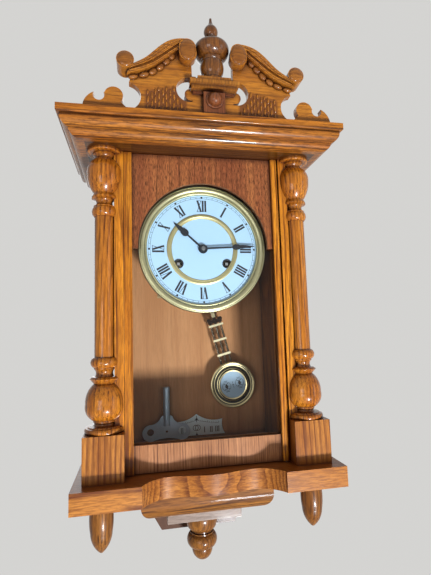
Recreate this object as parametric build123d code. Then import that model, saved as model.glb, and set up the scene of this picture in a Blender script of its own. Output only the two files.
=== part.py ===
"""Striking wall clock: a glazed oak case with turned columns, a moulded cornice, a swan-neck crest,
a round dial, a two-train spring movement and a short pendulum.

Millimetres. The origin is the centre of the hanger hole on the wall plane, +Z is up, +X is to the
right of someone facing the clock, and the front of the clock faces -Y.
"""

import math
import os

from build123d import *

# ---------------------------------------------------------------- driving sizes: heights
HANGER_TO_DIAL = 100.0  # hanger hole down to the hand arbor
DIAL_TO_SOFFIT = 111.9  # hand arbor up to the underside of the cornice
CASE_HEIGHT = 365.7  # top of the base board up to the underside of the cornice
CORNICE_HEIGHT = 28.5
CORNICE_BOARD = 6.5
SOFFIT_BOARD = 6.0
BASE_BOARD = 21.7
FLOOR_BOARD = 7.8
PLINTH_HEIGHT = 48.0
APRON_HEIGHT = 37.5
DROP_BLOCK_HEIGHT = 18.0
TAIL_BELOW_BASE = 86.5

# ---------------------------------------------------------------- driving sizes: widths and depths
CASE_HALF = 105.0  # outside of the side panels
SIDE_PANEL = 5.1
POST_WIDTH = 10.2
POST_DEPTH = 20.0
CASE_DEPTH = 131.6  # wall to the face of the posts and of the door
BACK_OFF_WALL = 8.0
BACK_BOARD = 12.0
HANGER_PLATE = 1.6
HANGER_HOLE_R = 4.5
CORNICE_OVERHANG = 57.0  # beyond the side panels
CORNICE_PROUD = 46.0  # in front of the posts
BASE_OVERHANG = 42.2
BASE_PROUD = 32.6
BASE_BLOCK_START = 76.8  # the serpentine front runs between the uncut ends
COLUMN_OUT = 11.0  # axis beyond the side panels
PLINTH_SIZE = 42.7
PLINTH_PROUD = 16.2
APRON_HALF = 78.0
APRON_DEPTH = 112.0
APRON_ROUND = 18.0
DROP_BLOCK_HALF = 46.0
DROP_BLOCK_DEPTH = 78.0
TAIL_HALF = 50.0

# ---------------------------------------------------------------- driving sizes: door
DOOR_GAP_SIDE = 0.5
DOOR_GAP_END = 0.8
STILE_WIDTH = 9.2
DOOR_THICK = 17.6
LIP = 4.0  # the stiles stand this far proud of the panel and the rail
REBATE = 3.2
PANEL_THICK = 5.1
GLASS_THICK = 2.5
BOTTOM_RAIL = 29.7
TOP_RAIL = 19.4
ARCH_RADIUS = 78.2
ARCH_LEG = 2.2  # the arch runs down this far below the hand arbor
EDGE_BEVEL = 1.0  # back of the closing stile, so that it swings clear
PIVOT_PIN_R = 1.25
PIVOT_PIN_LENGTH = 12.0
PIVOT_PIN_OUT = 4.5
RUNNING = 0.05  # radial clearance of a shaft in its hole
FIT = 0.1  # clearance of a panel in its rebate

# ---------------------------------------------------------------- driving sizes: crest
CREST_SHIFT = 8.0  # the crest lifts off, and it sits to the right of the centre line
CREST_SETBACK = 12.6  # behind the edge of the cornice
CREST_BOARD = 9.0
SCROLL_PROUD = 10.4

# ---------------------------------------------------------------- driving sizes: dial and hands
DIAL_FRONT = 112.2
DIAL_PLATE = 1.2
DIAL_R = 76.0
BEZEL_R = 78.4
BEZEL_INNER_R = 68.0
BEZEL_PROUD = 6.4
CHAPTER_RING_R = 44.1
CHAPTER_RING_INNER_R = 39.4
WINDING_X = 30.0
WINDING_DROP = 18.0
WINDING_HOLE_R = 5.4
HOUR_HAND = 47.7
MINUTE_HAND = 64.8
HOUR_HAND_ANGLE = 312.5  # clockwise from twelve
MINUTE_HAND_ANGLE = 87.0
HAND_THICK = 0.8

# ---------------------------------------------------------------- driving sizes: movement
PLATE_FRONT = 100.0  # wall to the front face of the front plate
PLATE_GAP = 30.2
PLATE_THICK = 1.8
PLATE_HALF = 54.0
PLATE_TOP = 46.0  # above the hand arbor
PLATE_BOTTOM = 56.0  # below it
GREAT_TEETH, CENTRE_LEAVES, GREAT_MODULE = 72, 6, 0.897
CENTRE_TEETH, THIRD_LEAVES, CENTRE_MODULE = 72, 6, 0.5
THIRD_TEETH, ESCAPE_LEAVES, THIRD_MODULE = 60, 6, 0.45
ESCAPE_TEETH, ESCAPE_R = 34, 11.5
CANNON_TEETH, MINUTE_TEETH, MOTION_MODULE = 12, 36, 0.6
MINUTE_LEAVES, HOUR_TEETH = 10, 40
STRIKE_LEAVES, STRIKE_TEETH, FLY_LEAVES, STRIKE_MODULE = 13, 60, 6, 0.45
BARREL_R = 22.0
ARBOR_R = 1.5

# ---------------------------------------------------------------- driving sizes: pendulum
SUSPENSION_ABOVE_DIAL = 18.4
PENDULUM_DEPTH = 36.0  # wall to the plane in which it swings
PENDULUM_LENGTH = 199.0
SWING = 14.3  # it is stored swung this far to the right
BOB_R = 31.2
ROD_END = 227.0  # from the suspension to the end of the middle rod
BOB_BACK = 3.0  # from the plane of the rods to the back of the bob
NUT_DISTANCE = 223.0  # from the suspension to the middle of the rating nut
BAR_DISTANCES = (114.3, 135.2, 155.9)
BAR_HALF_WIDTHS = (10.5, 9.6, 9.6)
CRUTCH_LENGTH = 45.0

# ---------------------------------------------------------------- levels worked out from them
DIAL_Z = -HANGER_TO_DIAL
SOFFIT_Z = DIAL_Z + DIAL_TO_SOFFIT
BASE_Z = SOFFIT_Z - CASE_HEIGHT
BASE_BOTTOM_Z = BASE_Z - BASE_BOARD
FLOOR_Z = BASE_Z + FLOOR_BOARD
CORNICE_Z = SOFFIT_Z + CORNICE_HEIGHT
BOARD_Z = CORNICE_Z - CORNICE_BOARD
PLINTH_Z = BASE_Z + PLINTH_HEIGHT
APRON_Z = BASE_BOTTOM_Z - APRON_HEIGHT
DROP_BLOCK_Z = APRON_Z - DROP_BLOCK_HEIGHT
CORNICE_HALF = CASE_HALF + CORNICE_OVERHANG
CORNICE_DEPTH = CASE_DEPTH + CORNICE_PROUD
BASE_HALF = CASE_HALF + BASE_OVERHANG
BASE_DEPTH = CASE_DEPTH + BASE_PROUD
COLUMN_X = CASE_HALF + COLUMN_OUT
PLINTH_FRONT = CASE_DEPTH + PLINTH_PROUD
CREST_FRONT = CORNICE_DEPTH - CREST_SETBACK
INSIDE_HALF = CASE_HALF - SIDE_PANEL
OPENING_HALF = CASE_HALF - POST_WIDTH
BACK_FRONT = BACK_OFF_WALL + BACK_BOARD
DOOR_HALF = OPENING_HALF - DOOR_GAP_SIDE
DOOR_BACK = CASE_DEPTH - DOOR_THICK
DOOR_TOP_Z = SOFFIT_Z - DOOR_GAP_END
DOOR_BOTTOM_Z = BASE_Z + DOOR_GAP_END
PANEL_FRONT = CASE_DEPTH - LIP
GLASS_FRONT = PANEL_FRONT - PANEL_THICK
GLASS_BACK = GLASS_FRONT - GLASS_THICK
STILE_INNER = DOOR_HALF - STILE_WIDTH
REBATE_HALF = STILE_INNER + REBATE
PIVOT_X = DOOR_HALF - LIP
PIVOT_Y = -(CASE_DEPTH - LIP)
SUSPENSION_Z = DIAL_Z + SUSPENSION_ABOVE_DIAL
BACK_PLATE_FRONT = PLATE_FRONT - PLATE_THICK - PLATE_GAP


# ---------------------------------------------------------------- shared makers
def block(x, y, z):
    """A board between two corners, each given as (low, high) along one axis."""
    size = [high - low for low, high in (x, y, z)]
    middle = [(high + low) / 2 for low, high in (x, y, z)]
    return Pos(*middle) * Box(*size)


def turning(start, *steps):
    """A turned piece about Z. Each step is (radius, height), or four values for an arc."""
    at, edges = start, []
    if start[0] > 0:
        edges.append(Edge.make_line((0, 0, start[1]), (start[0], 0, start[1])))
    for step in steps:
        end = step[-2:]
        first, last = (at[0], 0, at[1]), (end[0], 0, end[1])
        if len(step) == 4:
            edges.append(Edge.make_three_point_arc(first, (step[0], 0, step[1]), last))
        else:
            edges.append(Edge.make_line(first, last))
        at = end
    if at[0] > 0:
        edges.append(Edge.make_line((at[0], 0, at[1]), (0, 0, at[1])))
    edges.append(Edge.make_line((0, 0, at[1]), (0, 0, start[1])))
    return revolve(Face(Wire(edges)), Axis.Z)


def outline(start, *steps):
    """A closed flat outline in XZ. Each step is (x, z), or four values for an arc."""
    at, edges = start, []
    for step in (*steps, start):
        end = step[-2:]
        first, last = (at[0], 0, at[1]), (end[0], 0, end[1])
        if len(step) == 4:
            edges.append(Edge.make_three_point_arc(first, (step[0], 0, step[1]), last))
        else:
            edges.append(Edge.make_line(first, last))
        at = end
    return Face(Wire(edges))


def slab(face, back, thick):
    """The outline in XZ as a sheet that reaches from Y = -back forward by thick."""
    return extrude(Pos(0, -back, 0) * face, amount=thick, dir=(0, -1, 0))


def rod(x, z, radius, back, front):
    """A round rod along Y from Y = -back to Y = -front, with back nearer the wall."""
    return Pos(x, -(back + front) / 2, z) * Rot(90, 0, 0) * Cylinder(radius, front - back)


def mirrored(shape):
    """The left-hand copy of a right-hand piece."""
    return mirror(shape, about=Plane.YZ)


def gear(x, z, teeth, module, back, thick, bore, phase=0.0):
    """A clock wheel at (x, z): straight-flanked teeth, addendum 0.9 and dedendum 1.1 of the module."""
    pitch = teeth * module / 2
    points = []
    for tooth in range(teeth):
        for share, radius in ((-0.26, -1.1), (-0.12, 0.9), (0.12, 0.9), (0.26, -1.1)):
            angle = math.radians(phase + (tooth + share) * 360 / teeth)
            reach = pitch + radius * module
            points.append((x + reach * math.sin(angle), z + reach * math.cos(angle)))
    wheel = slab(outline(points[0], *points[1:]), back, thick)
    return wheel - rod(x, z, bore, back - 1, back + thick + 1)


def crossed(wheel, at, hub, rim, back, thick, arms=5, width=1.8):
    """A wheel with open windows between its arms."""
    share = 2 * math.pi / arms

    def spot(radius, angle):
        return (at[0] + radius * math.sin(angle), at[1] + radius * math.cos(angle))

    for arm in range(arms):
        low, high = arm * share, (arm + 1) * share
        near, far = math.asin(width / 2 / hub), math.asin(width / 2 / rim)
        window = outline(
            spot(rim, low + far),
            (*spot(rim, (low + high) / 2), *spot(rim, high - far)),
            spot(hub, high - near),
            (*spot(hub, (low + high) / 2), *spot(hub, low + near)),
        )
        wheel = wheel - slab(window, back - 0.5, thick + 1)
    return wheel


nodes = {}


def keep(name, shape):
    """Registers one sub-part under its name."""
    nodes[name] = shape


def at_dial(height):
    """A height given from the hand arbor."""
    return DIAL_Z + height


def ring(start, *steps):
    """A turned ring about Z from a closed outline of (radius, height) points."""
    return revolve(outline(start, *steps), Axis.Z)


def facing(shape, x, z, depth):
    """A piece turned about Z laid down to face the front, its zero plane at Y = -depth."""
    return Pos(x, -depth, z) * Rot(90, 0, 0) * shape


def spline(*points):
    """A smooth edge in the XZ plane."""
    return Edge.make_spline([(x, 0, z) for x, z in points])


# ---------------------------------------------------------------- case
def back_board():
    """The back with its tapering tail."""
    face = outline(
        (INSIDE_HALF, BASE_BOTTOM_Z),
        (INSIDE_HALF, SOFFIT_Z),
        (-INSIDE_HALF, SOFFIT_Z),
        (-INSIDE_HALF, BASE_BOTTOM_Z),
        (-TAIL_HALF, BASE_BOTTOM_Z - TAIL_BELOW_BASE),
        (TAIL_HALF, BASE_BOTTOM_Z - TAIL_BELOW_BASE),
    )
    return slab(face, BACK_OFF_WALL, BACK_BOARD)


def case():
    """The box behind the door and the boards above and below it."""
    post_back = CASE_DEPTH - POST_DEPTH
    keep("back_board", back_board())
    side = block((INSIDE_HALF, CASE_HALF), (-post_back, 0), (BASE_Z, SOFFIT_Z))
    keep("side_panels", Compound([side, mirrored(side)]))
    post = block((OPENING_HALF, CASE_HALF), (-CASE_DEPTH, -post_back), (BASE_Z, SOFFIT_Z))
    keep("front_posts", Compound([post, mirrored(post)]))
    keep("case_floor", block((-INSIDE_HALF, INSIDE_HALF), (-post_back, -BACK_FRONT), (BASE_Z, FLOOR_Z)))
    height = (-12, 10)
    bridge = block((-16, 16), (-HANGER_PLATE, 0), height) - rod(0, 0, HANGER_HOLE_R, -1, 4)
    for low, high, foot in ((-16, -16 + HANGER_PLATE, -28), (16 - HANGER_PLATE, 16, 28)):
        bridge = bridge + block((low, high), (-BACK_OFF_WALL, 0), height)
        flange = (min(low, foot), max(high, foot))
        bridge = bridge + block(flange, (-BACK_OFF_WALL, -BACK_OFF_WALL + HANGER_PLATE), height)
    seat = BACK_OFF_WALL - HANGER_PLATE
    screws = [rod(x, 0, 3.2, seat - 1.4, seat) for x in (-22, 22)]
    keep("hanger_plate", Compound([bridge, *screws]))


def cornice():
    """Soffit, mitred moulding round the front and the sides, and the board on top."""
    inner = 26.0
    half, depth = CORNICE_HALF - inner, CORNICE_DEPTH - inner
    pin_hole = Pos(PIVOT_X, PIVOT_Y, SOFFIT_Z) * Cylinder(PIVOT_PIN_R + RUNNING, 2 * PIVOT_PIN_OUT)
    soffit = block((-half, half), (-depth, 0), (SOFFIT_Z, SOFFIT_Z + SOFFIT_BOARD)) - pin_hole
    top_board = block((-CORNICE_HALF, CORNICE_HALF), (-CORNICE_DEPTH, 0), (BOARD_Z, CORNICE_Z))
    keep("cornice_boards", Compound([soffit, top_board]))
    profile = outline(
        (0, BOARD_Z),
        (0.3, BOARD_Z - 1.6, 1.6, BOARD_Z - 2.2),
        (3.7, BOARD_Z - 2.2),
        (4.6, BOARD_Z - 9.4, 10.5, BOARD_Z - 14.0),
        (11.2, BOARD_Z - 14.0),
        (13.4, BOARD_Z - 19.4, 19.1, BOARD_Z - 22.0),
        (inner, BOARD_Z - 22.0),
        (inner, BOARD_Z),
    )
    side = Pos(CORNICE_HALF, 0, 0) * mirrored(extrude(profile, amount=CORNICE_DEPTH, dir=(0, -1, 0)))
    front = Rot(0, 0, 90) * extrude(profile, amount=2 * CORNICE_HALF, dir=(0, -1, 0))
    front = Pos(-CORNICE_HALF, -CORNICE_DEPTH, 0) * front
    low, high = SOFFIT_Z - 1, BOARD_Z + 1
    corner = Polyline(
        (CORNICE_HALF + 1, -CORNICE_DEPTH - 1, low),
        (CORNICE_HALF - 60, -CORNICE_DEPTH + 60, low),
        (CORNICE_HALF + 1, -CORNICE_DEPTH + 60, low),
        close=True,
    )
    wedge = extrude(Face(Wire(corner.edges())), amount=high - low, dir=(0, 0, 1))
    side = side - block((0, 200), (-CORNICE_DEPTH - 2, -CORNICE_DEPTH + 60), (low, high)) + (side & wedge)
    front = front - wedge - mirrored(wedge)
    keep("cornice_moulding", front + side + mirrored(side))


def crest():
    """The crest board, its swan necks, the middle pedestal and the urn, all on the cornice."""
    top = CORNICE_Z

    def shape(*points):
        lift = (0, top, 0, top)
        return [tuple(value + up for value, up in zip(point, lift)) for point in points]

    back = CREST_FRONT - CREST_BOARD
    half = slab(
        outline(
            *shape(
                (0, 0),
                (144, 0),
                (144, 8.2),
                (139.5, 17.1, 132.5, 22.4),
                (121, 22.4),
                (111.4, 22.4),
                (103, 12),
                (98, 7.2),
                (88.7, 7.2),
                (82, 22.6, 94.8, 36.8),
                (91, 47.5),
                (78, 55),
                (66, 65),
                (54, 77),
                (42, 83),
                (30, 79),
                (24.5, 72),
                (24, 50.1),
                (19.5, 50.1),
                (19.5, 38.9),
                (0, 38.9),
            )
        ),
        back,
        CREST_BOARD,
    )
    through = (back - 1, CREST_FRONT + 1)
    half = half + rod(111.4, top + 19.8, 10.2, back, CREST_FRONT)
    half = half - rod(127.3, top + 19.4, 6.1, *through)
    opening = rod(27.6, top + 33.6, 14.6, *through) - rod(26.0, top + 27.8, 6.9, *through)
    opening = opening - block((-1, 24), (-CREST_FRONT - 2, -back + 2), (top, top + 60))
    half = half - opening
    keep("crest_board", Pos(CREST_SHIFT, 0, 0) * (half + mirrored(half)))

    ridge = [(30, 88.9), (40.9, 88), (49.9, 84.8), (58.7, 78.7), (67.5, 70.3), (76.4, 61.9), (85.4, 56), (92, 52)]
    quirk = [(95, 47.1), (85.1, 51.6), (73.1, 57.5), (61.2, 65.7), (50.9, 74), (39.2, 82.9)]
    foot = [(97, 43), (79.5, 48.4), (66, 55.8), (54.2, 65.6), (40.8, 75.9)]

    def moulded(low):
        """The face of a neck from its ridge down to a lower line, run out inside the scroll."""
        edges = [spline(*shape(*ridge)), spline(*shape(*low))]
        corners = [ridge[-1], low[0], low[-1], (30, low[-1][1]), ridge[0]]
        for start, end in ((0, 1), (2, 3), (3, 4)):
            (first, rise), (second, fall) = corners[start], corners[end]
            edges.append(Edge.make_line((first, 0, top + rise), (second, 0, top + fall)))
        return Face(Wire(edges))

    scroll = outline(*shape((19.4, 71.6), (29.3, 61.7, 39.2, 71.6), (39.4, 79), (30, 88.6, 20.4, 79)))
    neck = slab(moulded(foot), CREST_FRONT, 0.7 * SCROLL_PROUD)
    neck = neck + slab(moulded(quirk), CREST_FRONT, 0.9 * SCROLL_PROUD)
    neck = neck + slab(scroll, CREST_FRONT, SCROLL_PROUD)
    neck = neck + rod(98.6, top + 56.8, 9.6, CREST_FRONT - CREST_BOARD, CREST_FRONT + SCROLL_PROUD)
    under = [(24, 0), (96, 0), (91, 47.5), (78, 55), (66, 65), (54, 77), (42, 83), (30, 79), (24.5, 72)]
    neck = neck - slab(outline(*shape(*under)), CREST_FRONT - 20, 20)
    keep("swan_necks", Pos(CREST_SHIFT, 0, 0) * Compound([neck, mirrored(neck)]))

    front = -CREST_FRONT
    post = block((-12.3, 12.3), (front - 8, front), (top, top + 28.1))
    under = block((-24, 24), (front - 3, front), (top + 28.1, top + 31.5))
    under = under + block((-26.5, 26.5), (front - 10, front), (top + 31.5, top + 35))
    shelf = block((-28.3, 28.3), (front - 15, front), (top + 35, top + 38.9))
    cap = block((-19.2, 19.2), (front - 12, front + 16), (top + 38.9, top + 44.4))
    boss = turning((9.8, -1), (9.8, 1.2), (8.6, 1.8), (0, 1.8)) + Pos(0, 0, 1.4) * Sphere(8.0)
    pedestal = post + under + shelf + cap + facing(boss, 0, top + 18.2, CREST_FRONT + 8)
    keep("crest_pedestal", Pos(CREST_SHIFT, 0, 0) * pedestal)
    urn = turning(
        (13.9, 44.4),
        (13.9, 46.2),
        (11.8, 49.2),
        (11.6, 53),
        (12.6, 55.3),
        (13.9, 61.5, 13.2, 68.4),
        (12.4, 69.3),
        (13.1, 70.2),
        (13.2, 73),
        (18.2, 77.2, 20.6, 84),
        (19, 89.8, 13.2, 93),
        (12.6, 92.6),
        (12, 93.4),
        (6.8, 94.6),
        (5.6, 95.4),
        (5.4, 101.6),
        (6, 102.4),
        (8.3, 108.6, 5.3, 115.2),
        (3, 118.6, 1.6, 123.6),
        (1.4, 125.8),
        (0, 127.5),
    )
    keep("urn_finial", Pos(CREST_SHIFT, front + 2, top) * urn)


def column(x):
    """One turned column: the top turnings hang from the soffit, the bottom ones stand on the plinth."""
    top, low = SOFFIT_Z, PLINTH_Z
    turned = turning(
        (19.5, top),
        (19.5, top - 2.3),
        (19.0, top - 3.5, 17.6, top - 4.0),
        (13.2, top - 4.0),
        (13.2, top - 5.3),
        (11.0, top - 7.3, 10.3, top - 8.7),
        (11.2, top - 10.3),
        (11.2, top - 11.5),
        (13.6, top - 12.5),
        (18.2, top - 18.9, 19.5, top - 27.9),
        (17.4, top - 40.9, 12.4, top - 50.7),
        (12.4, top - 51.9),
        (14.3, top - 55.7),
        (14.3, top - 57.5),
        (10.6, top - 58.7),
        (9.2, top - 62.6, 10.9, top - 65.9),
        (12.2, top - 66.5),
        (12.2, top - 67.7),
        (14.0, top - 73.7, 11.4, top - 79.1),
        (10.9, top - 79.1),
        (10.9, low + 80.2),
        (12.0, low + 80.2),
        (15.1, low + 74.8, 12.4, low + 69.4),
        (11.4, low + 69.0),
        (11.4, low + 67.6),
        (9.2, low + 63.0, 10.4, low + 59.6),
        (13.6, low + 59.2),
        (16.0, low + 57.2),
        (11.6, low + 51.8),
        (17.6, low + 44.3, 20.5, low + 30.8),
        (18.6, low + 18.8, 13.0, low + 13.2),
        (12.0, low + 12.8),
        (12.0, low + 11.2),
        (10.9, low + 9.2, 12.4, low + 7.4),
        (17.4, low + 6.9),
        (18.0, low + 5.8),
        (20.0, low + 5.4),
        (21.3, low + 2.6, 20.4, low),
    )
    turned = Pos(x, -CASE_DEPTH + 5.1, 0) * turned
    return turned - block((0, CASE_HALF), (-CASE_DEPTH, 0), (low - 1, top + 1))


def base():
    """Columns, plinths, base board with the serpentine front, apron and the drops below."""
    right = column(COLUMN_X)
    keep("columns", Compound([right, mirrored(right)]))
    plinth = block(
        (OPENING_HALF - 0.2, OPENING_HALF - 0.2 + PLINTH_SIZE),
        (-PLINTH_FRONT, -PLINTH_FRONT + PLINTH_SIZE),
        (BASE_Z, PLINTH_Z),
    )
    plinth = plinth - block((0, CASE_HALF), (-CASE_DEPTH, 0), (BASE_Z - 1, PLINTH_Z + 1))
    keep("plinths", Compound([plinth, mirrored(plinth)]))

    wave = BASE_BLOCK_START
    front = BASE_DEPTH
    edges = [
        Edge.make_line((-BASE_HALF, 0, 0), (BASE_HALF, 0, 0)),
        Edge.make_line((BASE_HALF, 0, 0), (BASE_HALF, -front, 0)),
        Edge.make_line((BASE_HALF, -front, 0), (wave, -front, 0)),
        Edge.make_line((wave, -front, 0), (wave, -front + 1.7, 0)),
        Edge.make_spline(
            [
                (wave, -front + 1.7, 0),
                (0.65 * wave, -front + 20.5, 0),
                (0, -front + 13.6, 0),
                (-0.65 * wave, -front + 20.5, 0),
                (-wave, -front + 1.7, 0),
            ]
        ),
        Edge.make_line((-wave, -front + 1.7, 0), (-wave, -front, 0)),
        Edge.make_line((-wave, -front, 0), (-BASE_HALF, -front, 0)),
        Edge.make_line((-BASE_HALF, -front, 0), (-BASE_HALF, 0, 0)),
    ]
    board = extrude(Pos(0, 0, BASE_BOTTOM_Z) * Face(Wire(edges)), amount=BASE_BOARD, dir=(0, 0, 1))
    board = board - block((-INSIDE_HALF, INSIDE_HALF), (-BACK_FRONT, 1), (BASE_BOTTOM_Z - 1, BASE_Z + 1))
    board = board - Pos(PIVOT_X, PIVOT_Y, BASE_Z) * Cylinder(PIVOT_PIN_R + RUNNING, 2 * PIVOT_PIN_OUT)
    keep("base_board", board)

    apron = block((-APRON_HALF, APRON_HALF), (-APRON_DEPTH, -BACK_FRONT), (APRON_Z, BASE_BOTTOM_Z))
    lower = apron.edges().group_by(Axis.Z)[0]
    keep("apron_board", fillet([e for e in lower if e.center().Y < -BACK_FRONT - 1], APRON_ROUND))
    across, deep = (-DROP_BLOCK_HALF, DROP_BLOCK_HALF), (-DROP_BLOCK_DEPTH, -BACK_FRONT)
    keep("drop_block", block(across, deep, (DROP_BLOCK_Z, APRON_Z)))
    centre = turning(
        (19.6, 0),
        (20.6, -8.0, 19.4, -15.0),
        (17.6, -19.6, 13.6, -22.6),
        (13.6, -24.4),
        (15.2, -24.8),
        (15.2, -26.2),
        (19.3, -33.5, 13.2, -44.0),
        (10.6, -53.6, 1.6, -59.8),
        (0, -60.0),
    )
    side = turning((10.4, 0), (12.7, -21.5, 11.6, -33.5), (7.6, -46.5, 1.6, -53.5), (0, -53.8))
    drops = [Pos(x, -CASE_DEPTH + 5.6, BASE_BOTTOM_Z) * side for x in (-COLUMN_X - 3.3, COLUMN_X + 3.3)]
    keep("turned_drops", Compound([*drops, Pos(0, -46, DROP_BLOCK_Z) * centre]))


# ---------------------------------------------------------------- door
def door():
    """The framed door: two stiles, two rails, the arched panel, the glass and its beads."""
    high, low = DOOR_TOP_Z, DOOR_BOTTOM_Z
    stile = block((STILE_INNER, DOOR_HALF), (-CASE_DEPTH, -DOOR_BACK), (low, high))
    stile = stile - block((0, REBATE_HALF), (-PANEL_FRONT, 0), (low - 1, high + 1))
    hinge = fillet(stile.edges().filter_by(Axis.Z).sort_by(lambda e: e.center().X - e.center().Y)[-1], LIP)
    pins = [
        Pos(PIVOT_X, PIVOT_Y, high - PIVOT_PIN_LENGTH / 2 + PIVOT_PIN_OUT - 0.2),
        Pos(PIVOT_X, PIVOT_Y, low + PIVOT_PIN_LENGTH / 2 - PIVOT_PIN_OUT + 0.2),
    ]
    pin = Compound([place * Cylinder(PIVOT_PIN_R, PIVOT_PIN_LENGTH) for place in pins])
    right_stile = hinge - pin
    keep("door_pivot_pins", pin)
    wedge = extrude(
        Face(
            Wire(
                [
                    Edge.make_line((DOOR_HALF, -CASE_DEPTH, 0), (DOOR_HALF + 2, -DOOR_BACK, 0)),
                    Edge.make_line((DOOR_HALF + 2, -DOOR_BACK, 0), (DOOR_HALF - EDGE_BEVEL, -DOOR_BACK, 0)),
                    Edge.make_line((DOOR_HALF - EDGE_BEVEL, -DOOR_BACK, 0), (DOOR_HALF, -CASE_DEPTH, 0)),
                ]
            )
        ),
        amount=high - low + 2,
        dir=(0, 0, 1),
    )
    keep("door_stiles", Compound([right_stile, mirrored(stile - Pos(0, 0, low - 1) * wedge)]))

    rail_top = low + BOTTOM_RAIL
    rail = block((-REBATE_HALF, REBATE_HALF), (-PANEL_FRONT, -DOOR_BACK), (low, rail_top))
    sill = rail_top - REBATE
    rail = rail - block((-REBATE_HALF - 1, REBATE_HALF + 1), (-GLASS_FRONT, 0), (sill, rail_top + 1))
    head = high - TOP_RAIL
    top_rail = block((-REBATE_HALF, REBATE_HALF), (-GLASS_FRONT, -DOOR_BACK), (head, high))
    keep("door_rails", Compound([rail, top_rail]))
    leg = at_dial(-ARCH_LEG)
    panel = outline(
        (REBATE_HALF, leg),
        (REBATE_HALF, high),
        (-REBATE_HALF, high),
        (-REBATE_HALF, leg),
        (-ARCH_RADIUS, leg),
        (-ARCH_RADIUS, DIAL_Z),
        (0, DIAL_Z + ARCH_RADIUS, ARCH_RADIUS, DIAL_Z),
        (ARCH_RADIUS, leg),
    )
    keep("door_top_panel", slab(panel, GLASS_FRONT, PANEL_THICK))
    reach = REBATE_HALF - FIT
    keep("door_glass", block((-reach, reach), (-GLASS_FRONT, -GLASS_BACK), (sill, head - FIT)))
    beads = [
        block((STILE_INNER, REBATE_HALF), (-GLASS_BACK, -GLASS_BACK + 4), (sill, head)),
        block((-REBATE_HALF, -STILE_INNER), (-GLASS_BACK, -GLASS_BACK + 4), (sill, head)),
        block((-STILE_INNER, STILE_INNER), (-GLASS_BACK, -GLASS_BACK + 4), (sill, rail_top)),
    ]
    keep("door_glass_beads", Compound(beads))
    strike_z = at_dial(-40)
    edge, clear = -DOOR_HALF + 1.3, -REBATE_HALF - 0.3
    keep("catch_strike", block((edge, clear), (-DOOR_BACK, -DOOR_BACK + 0.4), (strike_z - 9, strike_z + 9)))
    post_back = CASE_DEPTH - POST_DEPTH
    catch = block((-INSIDE_HALF, clear), (-post_back, -post_back + 12), (strike_z - 12, strike_z + 12))
    magnet = block((edge, clear - 0.4), (-DOOR_BACK + 0.5, -post_back), (strike_z - 8, strike_z + 8))
    keep("magnetic_catch", catch + magnet)


# ---------------------------------------------------------------- dial and hands
def hand(length, bulb, hub, half):
    """A hand with a leaf-shaped bulb, pointing to twelve, its hub on the origin."""
    waist, leaf = 0.58 * half, 0.66 * half
    right = [
        (1.2, 0),
        (1.0, bulb - 6),
        (0.92 * half, bulb - 3.6, half, bulb),
        (0.88 * half, bulb + 2.4, waist, bulb + 4),
        (leaf, bulb + 6.4),
        (0.35, length),
    ]
    left = [(-0.35, length), (-leaf, bulb + 6.4), (-waist, bulb + 4), (-0.88 * half, bulb + 2.4, -half, bulb)]
    left += [(-0.92 * half, bulb - 3.6, -1.0, bulb - 6), (-1.2, 0)]
    return slab(outline(*right, *left), 0, HAND_THICK) + rod(0, 0, hub, 0, HAND_THICK)


def dial():
    """Dial plate on four feet, its bezel, the brass ring and the two hands."""
    plate = rod(0, 0, DIAL_R, DIAL_FRONT - DIAL_PLATE, DIAL_FRONT) - rod(0, 0, 5.2, 0, 200)
    holes = [rod(x, -WINDING_DROP, WINDING_HOLE_R, 0, 200) for x in (-WINDING_X, WINDING_X)]
    feet = [rod(x, z, 2.0, PLATE_FRONT, DIAL_FRONT - 1) for x in (-46, 46) for z in (-44, 36)]
    for foot in feet:
        plate = plate + foot
    for hole in holes:
        plate = plate - hole
    keep("dial_plate", Pos(0, 0, DIAL_Z) * plate)
    seat = 4.2
    bezel = ring(
        (DIAL_R + 0.1, 0),
        (BEZEL_R - 0.4, 0),
        (BEZEL_R, 3.0),
        (BEZEL_R, 7.6),
        (BEZEL_R - 0.35, 9.8, BEZEL_R - 1.9, 10.2),
        (BEZEL_R - 2.1, 9.7),
        (BEZEL_R - 5.2, 10.1, BEZEL_R - 8.0, 8.0),
        (BEZEL_R - 8.2, 7.4),
        (BEZEL_INNER_R + 0.7, 7.5, BEZEL_INNER_R, 6.4),
        (BEZEL_INNER_R, seat),
        (DIAL_R + 0.1, seat),
    )
    keep("dial_bezel", facing(bezel, 0, DIAL_Z, DIAL_FRONT - seat))
    trim = ring(
        (CHAPTER_RING_INNER_R, 0),
        (CHAPTER_RING_R, 0),
        (CHAPTER_RING_R, 0.6),
        (CHAPTER_RING_R - 1.3, 1.2),
        (CHAPTER_RING_INNER_R + 1.3, 1.2),
        (CHAPTER_RING_INNER_R, 0.6),
    )
    trim = facing(trim, 0, 0, DIAL_FRONT)
    for hole in holes:
        trim = trim - hole
    keep("dial_inner_ring", Pos(0, 0, DIAL_Z) * trim)

    hour = hand(HOUR_HAND, 31.0, 5.7, 4.2) - rod(0, 0, 3.01, -1, 2)
    keep("hour_hand", Pos(0, -114.2, DIAL_Z) * Rot(0, HOUR_HAND_ANGLE, 0) * hour)
    minute = hand(MINUTE_HAND, 42.5, 4.4, 3.4) - rod(0, 0, 1.5, -1, 2)
    keep("minute_hand", Pos(0, -116.8, DIAL_Z) * Rot(0, MINUTE_HAND_ANGLE, 0) * minute)
    nut = turning((2.6, 0), (2.6, 0.9), (1.9, 1.5), (0, 1.7)) - Pos(0, 0, 0.3) * Cylinder(1.5, 0.6)
    keep("hand_nut", facing(nut, 0, DIAL_Z, 117.6))


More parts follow.
